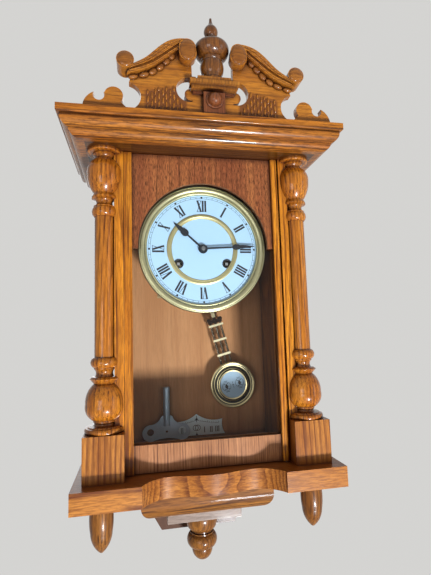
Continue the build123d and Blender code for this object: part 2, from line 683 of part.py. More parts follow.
# ---------------------------------------------------------------- movement
TIME_AT = (WINDING_X, -WINDING_DROP)
STRIKE_AT = (-WINDING_X, -WINDING_DROP)
THIRD_AT = (-12.37, 15.07)
ESCAPE_AT = (-11.6, 29.9)
STRIKE_WHEEL_AT = (-37.9, 19.3)
FLY_AT = (-42.1, 33.5)
MINUTE_AT = (8.64, -11.52)
HAMMER_AT = (44.0, 30.0)


def bearing(start, end):
    """The clockwise angle from twelve of the line from one arbor to another."""
    return math.degrees(math.atan2(end[0] - start[0], end[1] - start[1]))


def pair(driver, driver_at, driven, driven_at, module, back_driver, thick_driver, back_driven, thick_driven):
    """Two meshing wheels, a tooth of the first standing in a gap of the second."""
    first = gear(*driver_at, driver, module, back_driver, thick_driver, 0.5, bearing(driver_at, driven_at))
    phase = bearing(driven_at, driver_at) + 180 / driven
    second = gear(*driven_at, driven, module, back_driven, thick_driven, 0.5, phase)
    return first, second


def shaft(at, radius, back, front):
    """An arbor along Y."""
    return rod(at[0], at[1], radius, back, front)


def movement():
    """Two plates on pillars with the going train, the motion work and the strike train."""
    fine = 0.7
    plate_back = BACK_PLATE_FRONT - PLATE_THICK
    z = (-PLATE_BOTTOM, PLATE_TOP)
    front_plate = block((-PLATE_HALF, PLATE_HALF), (-PLATE_FRONT, -PLATE_FRONT + PLATE_THICK), z)
    back_plate = block((-PLATE_HALF, PLATE_HALF), (-BACK_PLATE_FRONT, -plate_back), z)
    fine_at = (THIRD_AT, ESCAPE_AT, STRIKE_WHEEL_AT, FLY_AT)
    for at in fine_at:
        front_plate = front_plate - shaft(at, fine + RUNNING, 90, 120)
        back_plate = back_plate - shaft(at, fine + RUNNING, 60, 80)
    for at in (TIME_AT, STRIKE_AT):
        front_plate = front_plate - shaft(at, 2.5 + RUNNING, 90, 120)
        back_plate = back_plate - shaft(at, 1.8 + RUNNING, 60, 80)
    front_plate = front_plate - shaft((0, 0), 1.5 + RUNNING, 90, 120)
    back_plate = back_plate - shaft((0, 0), 1.1 + RUNNING, 60, 80)
    back_plate = back_plate - shaft((0, SUSPENSION_ABOVE_DIAL), fine + RUNNING, 60, 80)
    front_plate = front_plate - shaft(HAMMER_AT, 1.0 + RUNNING, 90, 120)
    back_plate = back_plate - shaft(HAMMER_AT, 1.0 + RUNNING, 60, 80)
    pillars = [
        rod(x, height, 3.0, BACK_PLATE_FRONT, PLATE_FRONT - PLATE_THICK)
        for x in (-48, 48)
        for height in (-50, 41)
    ]

    great, centre_pinion = pair(
        GREAT_TEETH, TIME_AT, CENTRE_LEAVES, (0, 0), GREAT_MODULE, 93.0, 2.0, 92.0, 4.0
    )
    strike_great, strike_pinion = pair(
        GREAT_TEETH, STRIKE_AT, STRIKE_LEAVES, STRIKE_WHEEL_AT, GREAT_MODULE, 89.0, 2.0, 88.0, 4.0
    )
    centre_wheel, third_pinion = pair(
        CENTRE_TEETH, (0, 0), THIRD_LEAVES, THIRD_AT, CENTRE_MODULE, 70.0, 1.2, 69.0, 3.5
    )
    third_wheel, escape_pinion = pair(
        THIRD_TEETH, THIRD_AT, ESCAPE_LEAVES, ESCAPE_AT, THIRD_MODULE, 76.8, 1.2, 75.5, 4.0
    )
    strike_wheel, fly_pinion = pair(
        STRIKE_TEETH, STRIKE_WHEEL_AT, FLY_LEAVES, FLY_AT, STRIKE_MODULE, 82.8, 1.2, 81.5, 4.0
    )
    cannon, minute_wheel = pair(
        CANNON_TEETH, (0, 0), MINUTE_TEETH, MINUTE_AT, MOTION_MODULE, 100.6, 2.4, 100.9, 1.8
    )
    hour_module = 2 * 14.4 / (MINUTE_LEAVES + HOUR_TEETH)
    minute_leaves, hour_wheel = pair(
        MINUTE_LEAVES, MINUTE_AT, HOUR_TEETH, (0, 0), hour_module, 102.7, 3.2, 103.8, 1.6
    )

    centre_wheel = crossed(centre_wheel, (0, 0), 4.2, 15.2, 70.0, 1.2)
    third_wheel = crossed(third_wheel, THIRD_AT, 3.4, 11.0, 76.8, 1.2)
    strike_wheel = crossed(strike_wheel, STRIKE_WHEEL_AT, 3.4, 11.0, 82.8, 1.2)
    minute_wheel = crossed(minute_wheel, MINUTE_AT, 4.0, 8.6, 100.9, 1.8)
    hour_wheel = crossed(hour_wheel, (0, 0), 4.8, 9.2, 103.8, 1.6)

    time_drum = shaft(TIME_AT, BARREL_R, 72.0, 93.0) + great - shaft(TIME_AT, 2.5 + RUNNING, 60, 110)
    strike_drum = shaft(STRIKE_AT, BARREL_R, 72.0, 89.0) + strike_great
    strike_drum = strike_drum - shaft(STRIKE_AT, 2.5 + RUNNING, 60, 110)

    def winding(at):
        square = block((at[0] - 1.7, at[0] + 1.7), (-110.0, -101.0), (at[1] - 1.7, at[1] + 1.7))
        return shaft(at, 1.8, 66.0, 70.0) + shaft(at, 2.5, 70.0, 101.0) + square

    centre = shaft((0, 0), 1.1, 66.4, 68.6) + shaft((0, 0), 1.5, 68.6, 118.2) + centre_pinion + centre_wheel
    third = shaft(THIRD_AT, fine, 66.6, 99.8) + third_pinion + third_wheel
    teeth = []
    for tooth in range(ESCAPE_TEETH):
        for share, reach in ((0.0, ESCAPE_R), (0.3, ESCAPE_R - 2.2), (0.85, ESCAPE_R - 2.2)):
            angle = 2 * math.pi * (tooth + share) / ESCAPE_TEETH
            teeth.append((ESCAPE_AT[0] + reach * math.sin(angle), ESCAPE_AT[1] + reach * math.cos(angle)))
    escape_wheel = slab(outline(teeth[0], *teeth[1:]), 59.6, 1.4)
    escape_wheel = crossed(escape_wheel, ESCAPE_AT, 2.6, 7.6, 59.6, 1.4, width=1.4)
    escape = shaft(ESCAPE_AT, fine, 58.9, 99.8) + escape_pinion + escape_wheel
    strike = shaft(STRIKE_WHEEL_AT, fine, 66.6, 99.8) + strike_pinion + strike_wheel
    vane = block((FLY_AT[0] - 7, FLY_AT[0] + 7), (-97, -89), (FLY_AT[1] - 0.3, FLY_AT[1] + 0.3))
    fly = shaft(FLY_AT, fine, 66.6, 99.8) + fly_pinion + vane
    cannon = cannon + shaft((0, 0), 2.2, 100.6, 116.8) + shaft((0, 0), 2.0, 100.3, 100.6)
    cannon = cannon - shaft((0, 0), 1.5, 90, 120)
    stud = shaft(MINUTE_AT, 1.0, PLATE_FRONT, 106.8)
    motion = minute_wheel + minute_leaves - shaft(MINUTE_AT, 1.0 + RUNNING, 90, 120)
    hour = hour_wheel + shaft((0, 0), 3.0, 105.4, 115.0)
    hour = hour - shaft((0, 0), 2.2 + RUNNING, 90, 120)

    def dialled(name, shape):
        keep(name, Pos(0, 0, DIAL_Z) * shape)

    dialled("movement_front_plate", front_plate + stud)
    dialled("movement_back_plate", back_plate)
    dialled("movement_pillars", Compound(pillars))
    dialled("time_barrel", time_drum)
    dialled("time_winding_arbor", winding(TIME_AT))
    dialled("strike_barrel", strike_drum)
    dialled("strike_winding_arbor", winding(STRIKE_AT))
    dialled("centre_arbor", centre)
    dialled("cannon_pinion", cannon)
    dialled("minute_wheel", motion)
    dialled("hour_wheel", hour)
    dialled("third_wheel", third)
    dialled("escape_wheel", escape)
    dialled("strike_wheel", strike)
    dialled("fly", fly)
    brackets = []
    for side in (-1, 1):
        x = (46, 48) if side > 0 else (-48, -46)
        foot = (46, 56) if side > 0 else (-56, -46)
        plate = block(x, (-plate_back, -BACK_FRONT), (-30, 20))
        plate = plate + block(foot, (-plate_back, -plate_back + 1.5), (-30, 20))
        brackets.append(plate + block(foot, (-BACK_FRONT - 1.5, -BACK_FRONT), (-30, 20)))
    dialled("movement_brackets", Compound(brackets))


# ---------------------------------------------------------------- strike
def strike():
    """Hammer on its arbor and the two gong rods in their iron block."""
    x, z = HAMMER_AT
    arbor = shaft(HAMMER_AT, 1.0, 30.0, 99.8)
    arm = slab(outline((x - 2, z), (x + 2, z), (58.4, 76), (55.6, 76)), 31.0, 2.5)
    head = Pos(57.3, -32.5, 76) * Rot(0, 90, 0) * Cylinder(4.5, 9.6)
    keep("hammer", Pos(0, 0, DIAL_Z) * (arbor + shaft(HAMMER_AT, 3.0, 30.5, 34.5) + arm + head))
    gong = block((55, 73), (-42, -BACK_FRONT), (84, 100))
    rods = []
    for depth in (29.0, 36.0):
        rods.append(Pos(64, -depth, 25.5) * Cylinder(1.5, 117.0))
    keep("gong", Pos(0, 0, DIAL_Z) * Compound([gong, *rods]))


# ---------------------------------------------------------------- pendulum
def pendulum():
    """Back cock with its stud, the anchor and crutch, and the pendulum swung to its stored angle."""
    fine = 0.7
    pivot = (0, SUSPENSION_ABOVE_DIAL)
    plate_back = BACK_PLATE_FRONT - PLATE_THICK
    cock = block((-31, 31), (-52.0, -50.0), (pivot[1] - 6, pivot[1] + 6))
    for x in (-28, 28):
        cock = cock + rod(x, pivot[1], 2.5, 51.0, plate_back)
    cock = cock + shaft(pivot, 1.5, PENDULUM_DEPTH - 4.0, 51.0)
    cock = cock + shaft(pivot, 3.0, PENDULUM_DEPTH - 4.0, PENDULUM_DEPTH - 2.6)
    cock = cock - shaft(pivot, fine + RUNNING, 50.6, 60.0)
    keep("back_cock", Pos(0, 0, DIAL_Z) * cock)

    swing = Pos(0, 0, SUSPENSION_Z) * Rot(0, -SWING, 0)
    anchor = rod(0, 0, fine, 50.9, 67.0) + rod(0, 0, 3.0, 59.4, 61.2)
    lean = math.degrees(math.atan2(ESCAPE_AT[0], ESCAPE_AT[1] - SUSPENSION_ABOVE_DIAL))
    for side in (-60, 60):
        arm = slab(outline((-1.1, 0), (1.1, 0), (0.8, 7.6), (-0.8, 7.6)), 59.6, 1.4)
        anchor = anchor + Rot(0, lean + side, 0) * arm
    crutch = rod(0, 0, 3.0, 56.0, 57.6) - rod(0, 0, fine, 50, 60)
    tail = -CRUTCH_LENGTH - 2
    crutch = crutch + slab(outline((-2, -1), (-2, tail), (2, tail), (2, -1)), 56.0, 1.6)
    crutch = crutch - rod(0, 0, fine, 50, 60)
    crutch = crutch + rod(0, -CRUTCH_LENGTH, 1.0, PENDULUM_DEPTH - 2.5, 56.2)
    keep("anchor_and_crutch", swing * Compound([anchor, crutch]))

    back, front = PENDULUM_DEPTH - 1.0, PENDULUM_DEPTH + 1.0
    hanger = slab(outline((-2.5, 0), (-2.5, -106), (2.5, -106), (2.5, 0)), back, 2.0)
    hanger = hanger + rod(0, 0, 4.0, back, front) - rod(0, 0, 1.5 + RUNNING, back - 1, front + 1)
    level = (-CRUTCH_LENGTH - 5, -CRUTCH_LENGTH + 5)
    slot = block((-1 - RUNNING, 1 + RUNNING), (-front - 1, -back + 1), level)
    head = block((-10, 10), (-front - 1, -back + 1), (-111, -106))
    head = head + rod(-8, -106.5, 3.0, back - 1, front + 1) + rod(8, -106.5, 3.0, back - 1, front + 1)
    head = head - slab(outline((-2.6, -90), (-2.6, -106), (2.6, -106), (2.6, -90)), back - 2, 6)
    keep("pendulum_hanger", swing * Compound([hanger - slot, head]))
    bars = []
    rods = []
    for x in (-7.2, 7.2):
        rods.append(Pos(x, -PENDULUM_DEPTH, -(111 + 176) / 2) * Cylinder(1.3, 176 - 111))
    rods.append(Pos(0, -PENDULUM_DEPTH, -(111 + ROD_END) / 2) * Cylinder(1.3, ROD_END - 111))
    for distance, half in zip(BAR_DISTANCES, BAR_HALF_WIDTHS):
        bar = block((-half, half), (-front - 1.2, -back + 1.2), (-distance - 1.4, -distance + 1.4))
        for bore in rods:
            bar = bar - bore
        bars.append(bar)
    keep("pendulum_rods", swing * Compound(rods))
    keep("pendulum_bars", swing * Compound(bars))

    bob = turning(
        (26.5, 0),
        (BOB_R - 0.6, 2.4),
        (BOB_R, 4.0),
        (BOB_R, 6.8),
        (BOB_R - 0.5, 8.3, BOB_R - 1.7, 8.6),
        (BOB_R - 2.6, 8.0),
        (BOB_R - 2.8, 7.2),
        (24.6, 6.6, 20.8, 7.2),
        (20.3, 9.0, 19.3, 9.3),
        (18.0, 8.8),
        (18.0, 7.6),
    )
    bob_back = PENDULUM_DEPTH - BOB_BACK
    bob = facing(bob, 0, -PENDULUM_LENGTH, bob_back)
    for x in (-7.2, 7.2):
        bob = bob - Pos(x, -PENDULUM_DEPTH, -(160 + 180) / 2) * Cylinder(1.3 + RUNNING, 20)
    bob = bob - Pos(0, -PENDULUM_DEPTH, -(155 + ROD_END + 2) / 2) * Cylinder(1.3 + RUNNING, ROD_END + 2 - 155)
    nut_half = (-NUT_DISTANCE - 2.4, -NUT_DISTANCE + 2.4)
    bob = bob - block((-4.5, 4.5), (-PENDULUM_DEPTH - 2.9, -bob_back + 1), nut_half)
    keep("pendulum_bob", swing * bob)
    face = facing(Pos(0, 0, 0.4) * Cylinder(17.9, 0.8), 0, -PENDULUM_LENGTH, bob_back + 7.6)
    keep("bob_face", swing * face)
    nut = Pos(0, -PENDULUM_DEPTH, -NUT_DISTANCE) * (Cylinder(2.7, 4.0) - Cylinder(1.5, 6.0))
    keep("rating_nut", swing * nut)


# ---------------------------------------------------------------- loose and flat pieces
def fittings():
    """The beat scale on the back board and the winding key standing on the floor."""
    low = FLOOR_Z
    plate = outline(
        (40, low + 2.8),
        (36.0, low + 13.0, 36.5, low + 23.0),
        (15.0, low + 23.6, 0, low + 31.4),
        (-15.0, low + 23.6, -36.5, low + 23.0),
        (-36.0, low + 13.0, -40, low + 2.8),
    )
    keep("beat_scale", slab(plate, BACK_FRONT, 1.0))
    x, end = -41.5, 10.8
    wing = slab(
        outline(
            (x - 22, low),
            (x - 10, low + 2.6),
            (x, low + 3.4),
            (x + 10, low + 2.6),
            (x + 21, low),
            (x + 21, low + 2 * end),
            (x + 12.0, low + 24.5, x + 8, low + 31.0),
            (x, low + 34.0, x - 8, low + 31.0),
            (x - 13.0, low + 24.5, x - 22, low + 2 * end),
        ),
        24.4,
        1.6,
    )
    wing = wing + rod(x - 22, low + end, end, 24.4, 26.0) + rod(x + 21, low + end, end, 24.4, 26.0)
    wing = wing - rod(x - 22, low + 12.0, 4.6, 20, 30) - rod(x + 21, low + 12.0, 5.5, 20, 30)
    wing = wing - rod(x, low + 11.8, 1.6, 20, 30)
    stem = Pos(x, -25.2, low + 45.25) * Cylinder(4.5, 51.1)
    stem = stem - Pos(x, -25.2, low + 66.8) * Box(3.6, 3.6, 8.1)
    keep("winding_key", wing + stem)


case()
cornice()
crest()
base()
door()
dial()
movement()
strike()
pendulum()
fittings()

os.makedirs("parts", exist_ok=True)
for name, solid in nodes.items():
    export_step(solid, f"parts/{name}.step")
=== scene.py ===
"""Looks for the striking wall clock: materials, printing, carving, light and camera.

Sizes and places of the pieces are in mm, with x across, y towards the wall and z up from the hanger's
hole. Those of the stage, the lamps and the camera are in metres.
"""

import math
import random

import bpy
from mathutils import Matrix, Vector


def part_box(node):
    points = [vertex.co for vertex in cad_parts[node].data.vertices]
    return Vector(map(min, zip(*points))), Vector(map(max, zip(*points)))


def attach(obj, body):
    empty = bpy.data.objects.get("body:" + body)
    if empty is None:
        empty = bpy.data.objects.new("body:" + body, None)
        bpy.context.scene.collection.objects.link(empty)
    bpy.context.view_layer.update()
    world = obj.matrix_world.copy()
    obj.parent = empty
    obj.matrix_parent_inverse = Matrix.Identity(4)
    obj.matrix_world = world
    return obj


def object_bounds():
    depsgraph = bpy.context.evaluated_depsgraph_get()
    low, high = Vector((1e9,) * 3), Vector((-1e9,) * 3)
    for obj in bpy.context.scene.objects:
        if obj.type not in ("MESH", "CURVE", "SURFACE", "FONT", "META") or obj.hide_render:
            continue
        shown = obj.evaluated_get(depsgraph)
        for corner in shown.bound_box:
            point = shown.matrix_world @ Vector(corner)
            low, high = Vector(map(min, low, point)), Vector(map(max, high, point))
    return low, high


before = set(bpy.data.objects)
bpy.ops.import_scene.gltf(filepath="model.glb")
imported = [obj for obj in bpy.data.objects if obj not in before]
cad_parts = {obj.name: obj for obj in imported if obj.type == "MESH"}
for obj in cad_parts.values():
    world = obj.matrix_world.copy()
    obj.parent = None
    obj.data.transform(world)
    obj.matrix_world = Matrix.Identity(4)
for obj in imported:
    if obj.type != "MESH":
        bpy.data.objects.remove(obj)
CAD_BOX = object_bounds()

MM = 0.001
SIDES = ((-1, "left"), (1, "right"))


def edges(node):
    """Lowest and highest corner of a CAD node at rest, in mm."""
    return [[round(value / MM, 3) for value in corner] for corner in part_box(node)]


def face_of(node):
    """Distance from the wall to the front of a CAD node, in mm."""
    return -edges(node)[0][1]


def middle_of(node):
    """Middle of a CAD node seen from the front, as (across, up) in mm."""
    low, high = edges(node)
    return (low[0] + high[0]) / 2, (low[2] + high[2]) / 2


DIAL_AT = middle_of("dial_plate")
DIAL_FACE = face_of("dial_plate")
CORNICE_TOP = edges("cornice_boards")[1][2]
CREST_SHIFT = middle_of("crest_board")[0]  # the crest stands to the right of the case's middle
CREST_FACE = face_of("crest_board")
NECK_PROUD = face_of("swan_necks") - CREST_FACE
BASE_BOTTOM = edges("base_board")[0][2]
INK_RISE = 0.05  # how far print lies in front of its ground
INK_LAYER = 0.01  # between prints that overlap
SKIN = 0.5  # a face counts as the front of its board down to this depth

# the crest, measured out from its middle and up from the cornice
FIELD_START = 33.0  # inner edge of the carved field
OPENING_AT, OPENING_RADIUS = (27.6, 33.6), 14.6  # the round cut-out beside the pedestal
SHELF_BOTTOM = 31.0  # where the pedestal's post ends under its shelf

# the pendulum, which hangs swung to the right
PIVOT_Z = -81.6
PENDULUM_DEPTH = 36.0  # wall to the plane of the rods
SWING = math.radians(14.3)
ROD_SPACING = 7.2
BOB_DOWN = 199.0  # from the suspension to the bob's middle
BOB_AT = (BOB_DOWN * math.sin(SWING), PIVOT_Z - BOB_DOWN * math.cos(SWING))


# ---------------------------------------------------------------- node helpers
class Nodes:
    """A material's node tree with short calls to add and join nodes."""

    def __init__(self, name):
        self.mat = bpy.data.materials.new(name)
        self.mat.use_nodes = True
        self.tree = self.mat.node_tree
        self.bsdf = self.tree.nodes["Principled BSDF"]

    def add(self, kind, **values):
        node = self.tree.nodes.new(kind)
        for key, value in values.items():
            setattr(node, key, value)
        return node

    def join(self, source, target):
        self.tree.links.new(source, target)

    def feed(self, target, value):
        """Links a socket to another one, or sets it to a plain value."""
        if isinstance(value, bpy.types.NodeSocket):
            self.join(value, target)
        else:
            target.default_value = value

    def math(self, operation, a, b=0.0, clamp=False):
        node = self.add("ShaderNodeMath", operation=operation, use_clamp=clamp)
        self.feed(node.inputs[0], a)
        self.feed(node.inputs[1], b)
        return node.outputs[0]

    def place(self, scale=(1, 1, 1), turn=(0, 0, 0), shift=(0, 0, 0), source=None):
        """The place on the object, or another source, stretched, turned and shifted."""
        if source is None:
            source = self.add("ShaderNodeTexCoord").outputs["Object"]
        node = self.add("ShaderNodeMapping")
        self.join(source, node.inputs["Vector"])
        node.inputs["Scale"].default_value = scale
        node.inputs["Rotation"].default_value = turn
        node.inputs["Location"].default_value = shift
        return node.outputs[0]

    def split(self, vector):
        node = self.add("ShaderNodeSeparateXYZ")
        self.join(vector, node.inputs[0])
        return node.outputs

    def noise(self, vector, scale, detail=2.0, rough=0.5):
        node = self.add("ShaderNodeTexNoise")
        self.join(vector, node.inputs["Vector"])
        node.inputs["Scale"].default_value = scale
        node.inputs["Detail"].default_value = detail
        node.inputs["Roughness"].default_value = rough
        return node.outputs["Fac"]

    def ramp(self, value, *stops):
        """Each stop is (position, grey level)."""
        node = self.add("ShaderNodeValToRGB")
        self.join(value, node.inputs["Fac"])
        elements = node.color_ramp.elements
        while len(elements) < len(stops):
            elements.new(0.5)
        for element, (position, level) in zip(elements, stops):
            element.position = position
            element.color = (level, level, level, 1)
        return node.outputs["Color"]

    def mix(self, a, b, share, blend="MIX"):
        node = self.add("ShaderNodeMix", data_type="RGBA", blend_type=blend)
        self.feed(node.inputs[0], share)
        for socket, value in ((node.inputs[6], a), (node.inputs[7], b)):
            if isinstance(value, tuple):
                value = (*value, 1)
            self.feed(socket, value)
        return node.outputs[2]

    def tint(self, colour, factors, share):
        """The colour, multiplied by the factors where the share is 1."""
        return self.mix(colour, self.mix(colour, factors, 1.0, "MULTIPLY"), share)

    def bump(self, height, strength, distance):
        node = self.add("ShaderNodeBump")
        self.join(height, node.inputs["Height"])
        node.inputs["Strength"].default_value = strength
        node.inputs["Distance"].default_value = distance
        self.join(node.outputs["Normal"], self.bsdf.inputs["Normal"])

    def recess_shade_share(self, reach):
        """1 deep in a groove or a corner narrower than the reach, where shade is painted, and 0 in the open.
        """
        node = self.add("ShaderNodeAmbientOcclusion", samples=6)
        node.inputs["Distance"].default_value = reach
        return self.ramp(node.outputs["AO"], (0.42, 1.0), (0.92, 0.0))

    def blend_shaders(self, share, first, second):
        """Ends the tree in two shaders, the second one showing by the share."""
        mix = self.add("ShaderNodeMixShader")
        self.join(share, mix.inputs[0])
        self.join(first.outputs[0], mix.inputs[1])
        self.join(second.outputs[0], mix.inputs[2])
        output = next(node for node in self.tree.nodes if node.type.startswith("OUTPUT"))
        self.join(mix.outputs[0], output.inputs["Surface"])

    def surface(self, colour, rough, **plain):
        """Feeds the shader. The plain values are named after its sockets, with _ for a space."""
        self.feed(self.bsdf.inputs["Base Color"], colour)
        self.feed(self.bsdf.inputs["Roughness"], rough)
        for key, value in plain.items():
            self.bsdf.inputs[key.replace("_", " ")].default_value = value
        return self.mat


def away(n, x, z):
    """Distance from a point of the front plane, in metres."""
    parts = n.split(n.place())
    across = n.math("SUBTRACT", parts[0], x * MM)
    up = n.math("SUBTRACT", parts[2], z * MM)
    return n.math("SQRT", n.math("ADD", n.math("MULTIPLY", across, across), n.math("MULTIPLY", up, up)))


def dress(look, *nodes):
    """Gives CAD nodes their material."""
    for node in nodes:
        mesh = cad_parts[node].data
        mesh.materials.clear()
        mesh.materials.append(look)
    return look


# ---------------------------------------------------------------- wood
GRAIN_TURN = {"Z": (0, 0, 0), "X": (0, math.radians(90), 0)}  # turns the grain's length to Z


def wood(
    name, tones, along, shift, ring, wild, rough=0.34, pore=1.0,
    dash=0.34, pitch=640.0, band=0.28, coat=0.6, reach=0.009, carve=None, tint=None,
):
    """Varnished open-pored wood: growth rings round a distant heart, broken into dark pores along the grain.

    tones are (light, mid, dark). along is the axis of the grain, and shift places the heart. ring is the
    spacing of the rings in mm, and wild bends them. pore is the strength of the pores, dash that of the
    short dark ones, and pitch their fineness. band is the darkness of a whole ring. reach is the width of
    the grooves and corners that get painted shade, in metres. carve gives a height of its own and the share
    of stain lying in it. tint changes the colour.
    """
    light, mid, dark = tones
    # the colour of the painted shade in grooves and corners
    recess_shade = tuple(0.8 * value for value in dark)
    carving_stain = (0.165, 0.048, 0.010)
    n = Nodes(name)
    base = n.place(turn=GRAIN_TURN[along], shift=shift)

    def fibres(stretch, scale, detail=2.0, rough=0.5):
        """Noise drawn out along the grain."""
        return n.noise(n.place((1, 1, stretch), source=base), scale, detail, rough)

    bend = fibres(0.22, 7.0)
    wave = fibres(0.10, 38.0)
    parts = n.split(base)
    x = n.math("ADD", parts[0], n.math("MULTIPLY", bend, 0.05 * wild))
    y = n.math("ADD", parts[1], n.math("MULTIPLY", wave, 0.006 * wild))
    heart = n.math("SQRT", n.math("ADD", n.math("MULTIPLY", x, x), n.math("MULTIPLY", y, y)))
    rings = n.math("FRACT", n.math("DIVIDE", heart, ring * MM))
    late = n.ramp(rings, (0.0, 0.0), (0.07, 1.0), (0.36, 0.55), (0.62, 0.12), (1.0, 0.0))

    pores = n.ramp(fibres(0.024, 620.0, 3.0, 0.62), (0.45, 0.0), (0.60, 1.0))
    fine = n.ramp(fibres(0.035, 1700.0, 2.0, 0.6), (0.47, 0.0), (0.63, 1.0))
    streak = n.ramp(fibres(0.10, pitch, 3.0, 0.66), (0.47, 0.0), (0.58, 1.0))
    broad = n.ramp(fibres(0.07, 55.0, 4.0, 0.6), (0.38, 0.0), (0.62, 1.0))
    grain = n.math("MULTIPLY", n.math("ADD", n.math("MULTIPLY", pores, 1.0 - band), band), late)
    grain = n.math("ADD", grain, n.math("MULTIPLY", pores, 0.16))

    colour = n.mix(light, mid, broad)
    for marks, strength in ((grain, pore), (fine, 0.30 * pore), (streak, dash)):
        colour = n.mix(colour, dark, n.math("MULTIPLY", marks, strength, clamp=True))
    if tint:
        colour = tint(n, colour)
    # painted shade: the wood darkens in grooves and corners
    colour = n.mix(colour, recess_shade, n.recess_shade_share(reach))

    height = n.math("SUBTRACT", 1.0, n.math("ADD", grain, n.math("MULTIPLY", fine, 0.4)))
    if carve:
        depth, stained = carve(n)
        colour = n.mix(colour, carving_stain, stained)
        n.bump(n.math("ADD", n.math("MULTIPLY", height, 0.12), depth), strength=0.9, distance=0.0012)
    else:
        n.bump(height, strength=0.22, distance=0.00025)
    return n.surface(
        colour, rough, Coat_Weight=coat, Coat_Roughness=0.10, Coat_IOR=1.4, Specular_IOR_Level=0.15,
    )


def gouges(n):
    """The stained, lightly hollowed ground of the crest's carved field, each side of the pedestal."""
    slope = 0.20  # the field's top edge falls away from the pedestal
    span = 0.1  # what the two ramps cover, in metres
    parts = n.split(n.place())
    x = n.math("ABSOLUTE", n.math("SUBTRACT", parts[0], CREST_SHIFT * MM))
    z = n.math("SUBTRACT", parts[2], CORNICE_TOP * MM)
    z = n.math("ADD", z, n.math("MULTIPLY", n.math("SUBTRACT", x, FIELD_START * MM), slope))
    wide = n.ramp(n.math("DIVIDE", x, span), (0.0, 0.0), (0.29, 0.0), (0.32, 1.0), (0.76, 1.0), (0.79, 0.0))
    tall = n.ramp(n.math("DIVIDE", z, span), (0.0, 0.0), (0.03, 1.0), (0.35, 1.0), (0.40, 0.0))
    front = n.math("LESS_THAN", parts[1], -(CREST_FACE - SKIN) * MM)
    share = n.math("MULTIPLY", n.math("MULTIPLY", wide, tall), front)
    cut = n.noise(n.place((1, 1, 0.35)), 260.0)
    return n.math("MULTIPLY", n.math("MULTIPLY", cut, share), -0.6), n.math("MULTIPLY", share, 0.92)


def tongue(n, colour):
    """The back board is made darker on its front where it shows below the base."""
    parts = n.split(n.place())
    low = n.math("LESS_THAN", parts[2], BASE_BOTTOM * MM)
    front = n.math("LESS_THAN", parts[1], -(face_of("back_board") - SKIN) * MM)
    return n.tint(colour, (0.16, 0.12, 0.11), n.math("MULTIPLY", low, front))


def soffit_shade(n, colour):
    """The cornice boards are darkened under the moulding: painted shade."""
    shade_top = 30.0  # above the hanger's hole
    low = n.math("LESS_THAN", n.split(n.place())[2], shade_top * MM)
    return n.tint(colour, (0.20, 0.20, 0.24), low)


def shelf(n, colour):
    """The pedestal's shelf is lighter than its post."""
    high = n.math("GREATER_THAN", n.split(n.place())[2], (CORNICE_TOP + SHELF_BOTTOM) * MM)
    return n.tint(colour, (1.6, 1.95, 0.8), high)


# the light, mid and dark tone of each kind of wood
MOULD = ((0.62, 0.215, 0.024), (0.42, 0.125, 0.012), (0.050, 0.013, 0.004))
GOLD = ((0.70, 0.245, 0.022), (0.50, 0.145, 0.010), (0.075, 0.016, 0.003))
STILE = ((0.86, 0.320, 0.022), (0.66, 0.205, 0.011), (0.12, 0.024, 0.003))
RAIL = ((0.53, 0.230, 0.095), (0.41, 0.165, 0.062), (0.10, 0.030, 0.012))
RED = ((0.52, 0.180, 0.058), (0.34, 0.100, 0.036), (0.045, 0.013, 0.007))
BASE = ((0.58, 0.222, 0.040), (0.42, 0.138, 0.019), (0.14, 0.034, 0.007))
DROP = ((0.36, 0.140, 0.024), (0.24, 0.080, 0.011), (0.050, 0.014, 0.004))
CREST = ((0.62, 0.225, 0.022), (0.44, 0.140, 0.012), (0.085, 0.022, 0.005))
# the drop block's pale greyish tones are a painted sheen over the wood's own tone
BLOCK_SHEEN = ((0.34, 0.25, 0.20), (0.27, 0.19, 0.15), (0.10, 0.060, 0.040))
CAPS = ((0.40, 0.138, 0.018), (0.27, 0.083, 0.010), (0.07, 0.018, 0.004))
POST = ((0.36, 0.112, 0.034), (0.25, 0.070, 0.020), (0.055, 0.014, 0.006))
URN = ((0.25, 0.085, 0.014), (0.15, 0.044, 0.008), (0.022, 0.006, 0.003))
BACK = ((0.60, 0.295, 0.130), (0.51, 0.235, 0.098), (0.20, 0.080, 0.030))
SIDE = ((0.30, 0.115, 0.030), (0.22, 0.075, 0.016), (0.06, 0.016, 0.005))

dress(wood("oak_plinths", BASE, "Z", (0.31, 0.17, 0.05), 7.0, 2.6, band=0.7, coat=0.3), "plinths")
dress(wood("oak_posts", STILE, "Z", (0.22, 0.40, 0.30), 4.4, 1.2, band=0.45, coat=0.45), "front_posts")
dress(wood("oak_stiles", STILE, "Z", (0.07, 0.36, 0.0), 4.0, 1.5, band=0.45, coat=0.45), "door_stiles")
dress(
    wood("oak_moulding", MOULD, "X", (0.02, 0.35, 0.09), 3.6, 1.5, dash=0.62, band=0.5, reach=0.015),
    "cornice_moulding",
)
# the boards carry painted shade under the moulding
dress(wood("oak_boards", GOLD, "X", (0.02, 0.35, 0.09), 5.2, 1.5, tint=soffit_shade), "cornice_boards")
dress(
    wood("oak_base", BASE, "X", (0.33, 0.30, 0.20), 3.6, 1.3, dash=0.5, band=0.7, coat=0.25),
    "base_board",
)
dress(
    wood("oak_apron", DROP, "X", (0.33, 0.30, 0.20), 3.6, 1.8, rough=0.55, dash=0.5, coat=0.12),
    "apron_board",
)
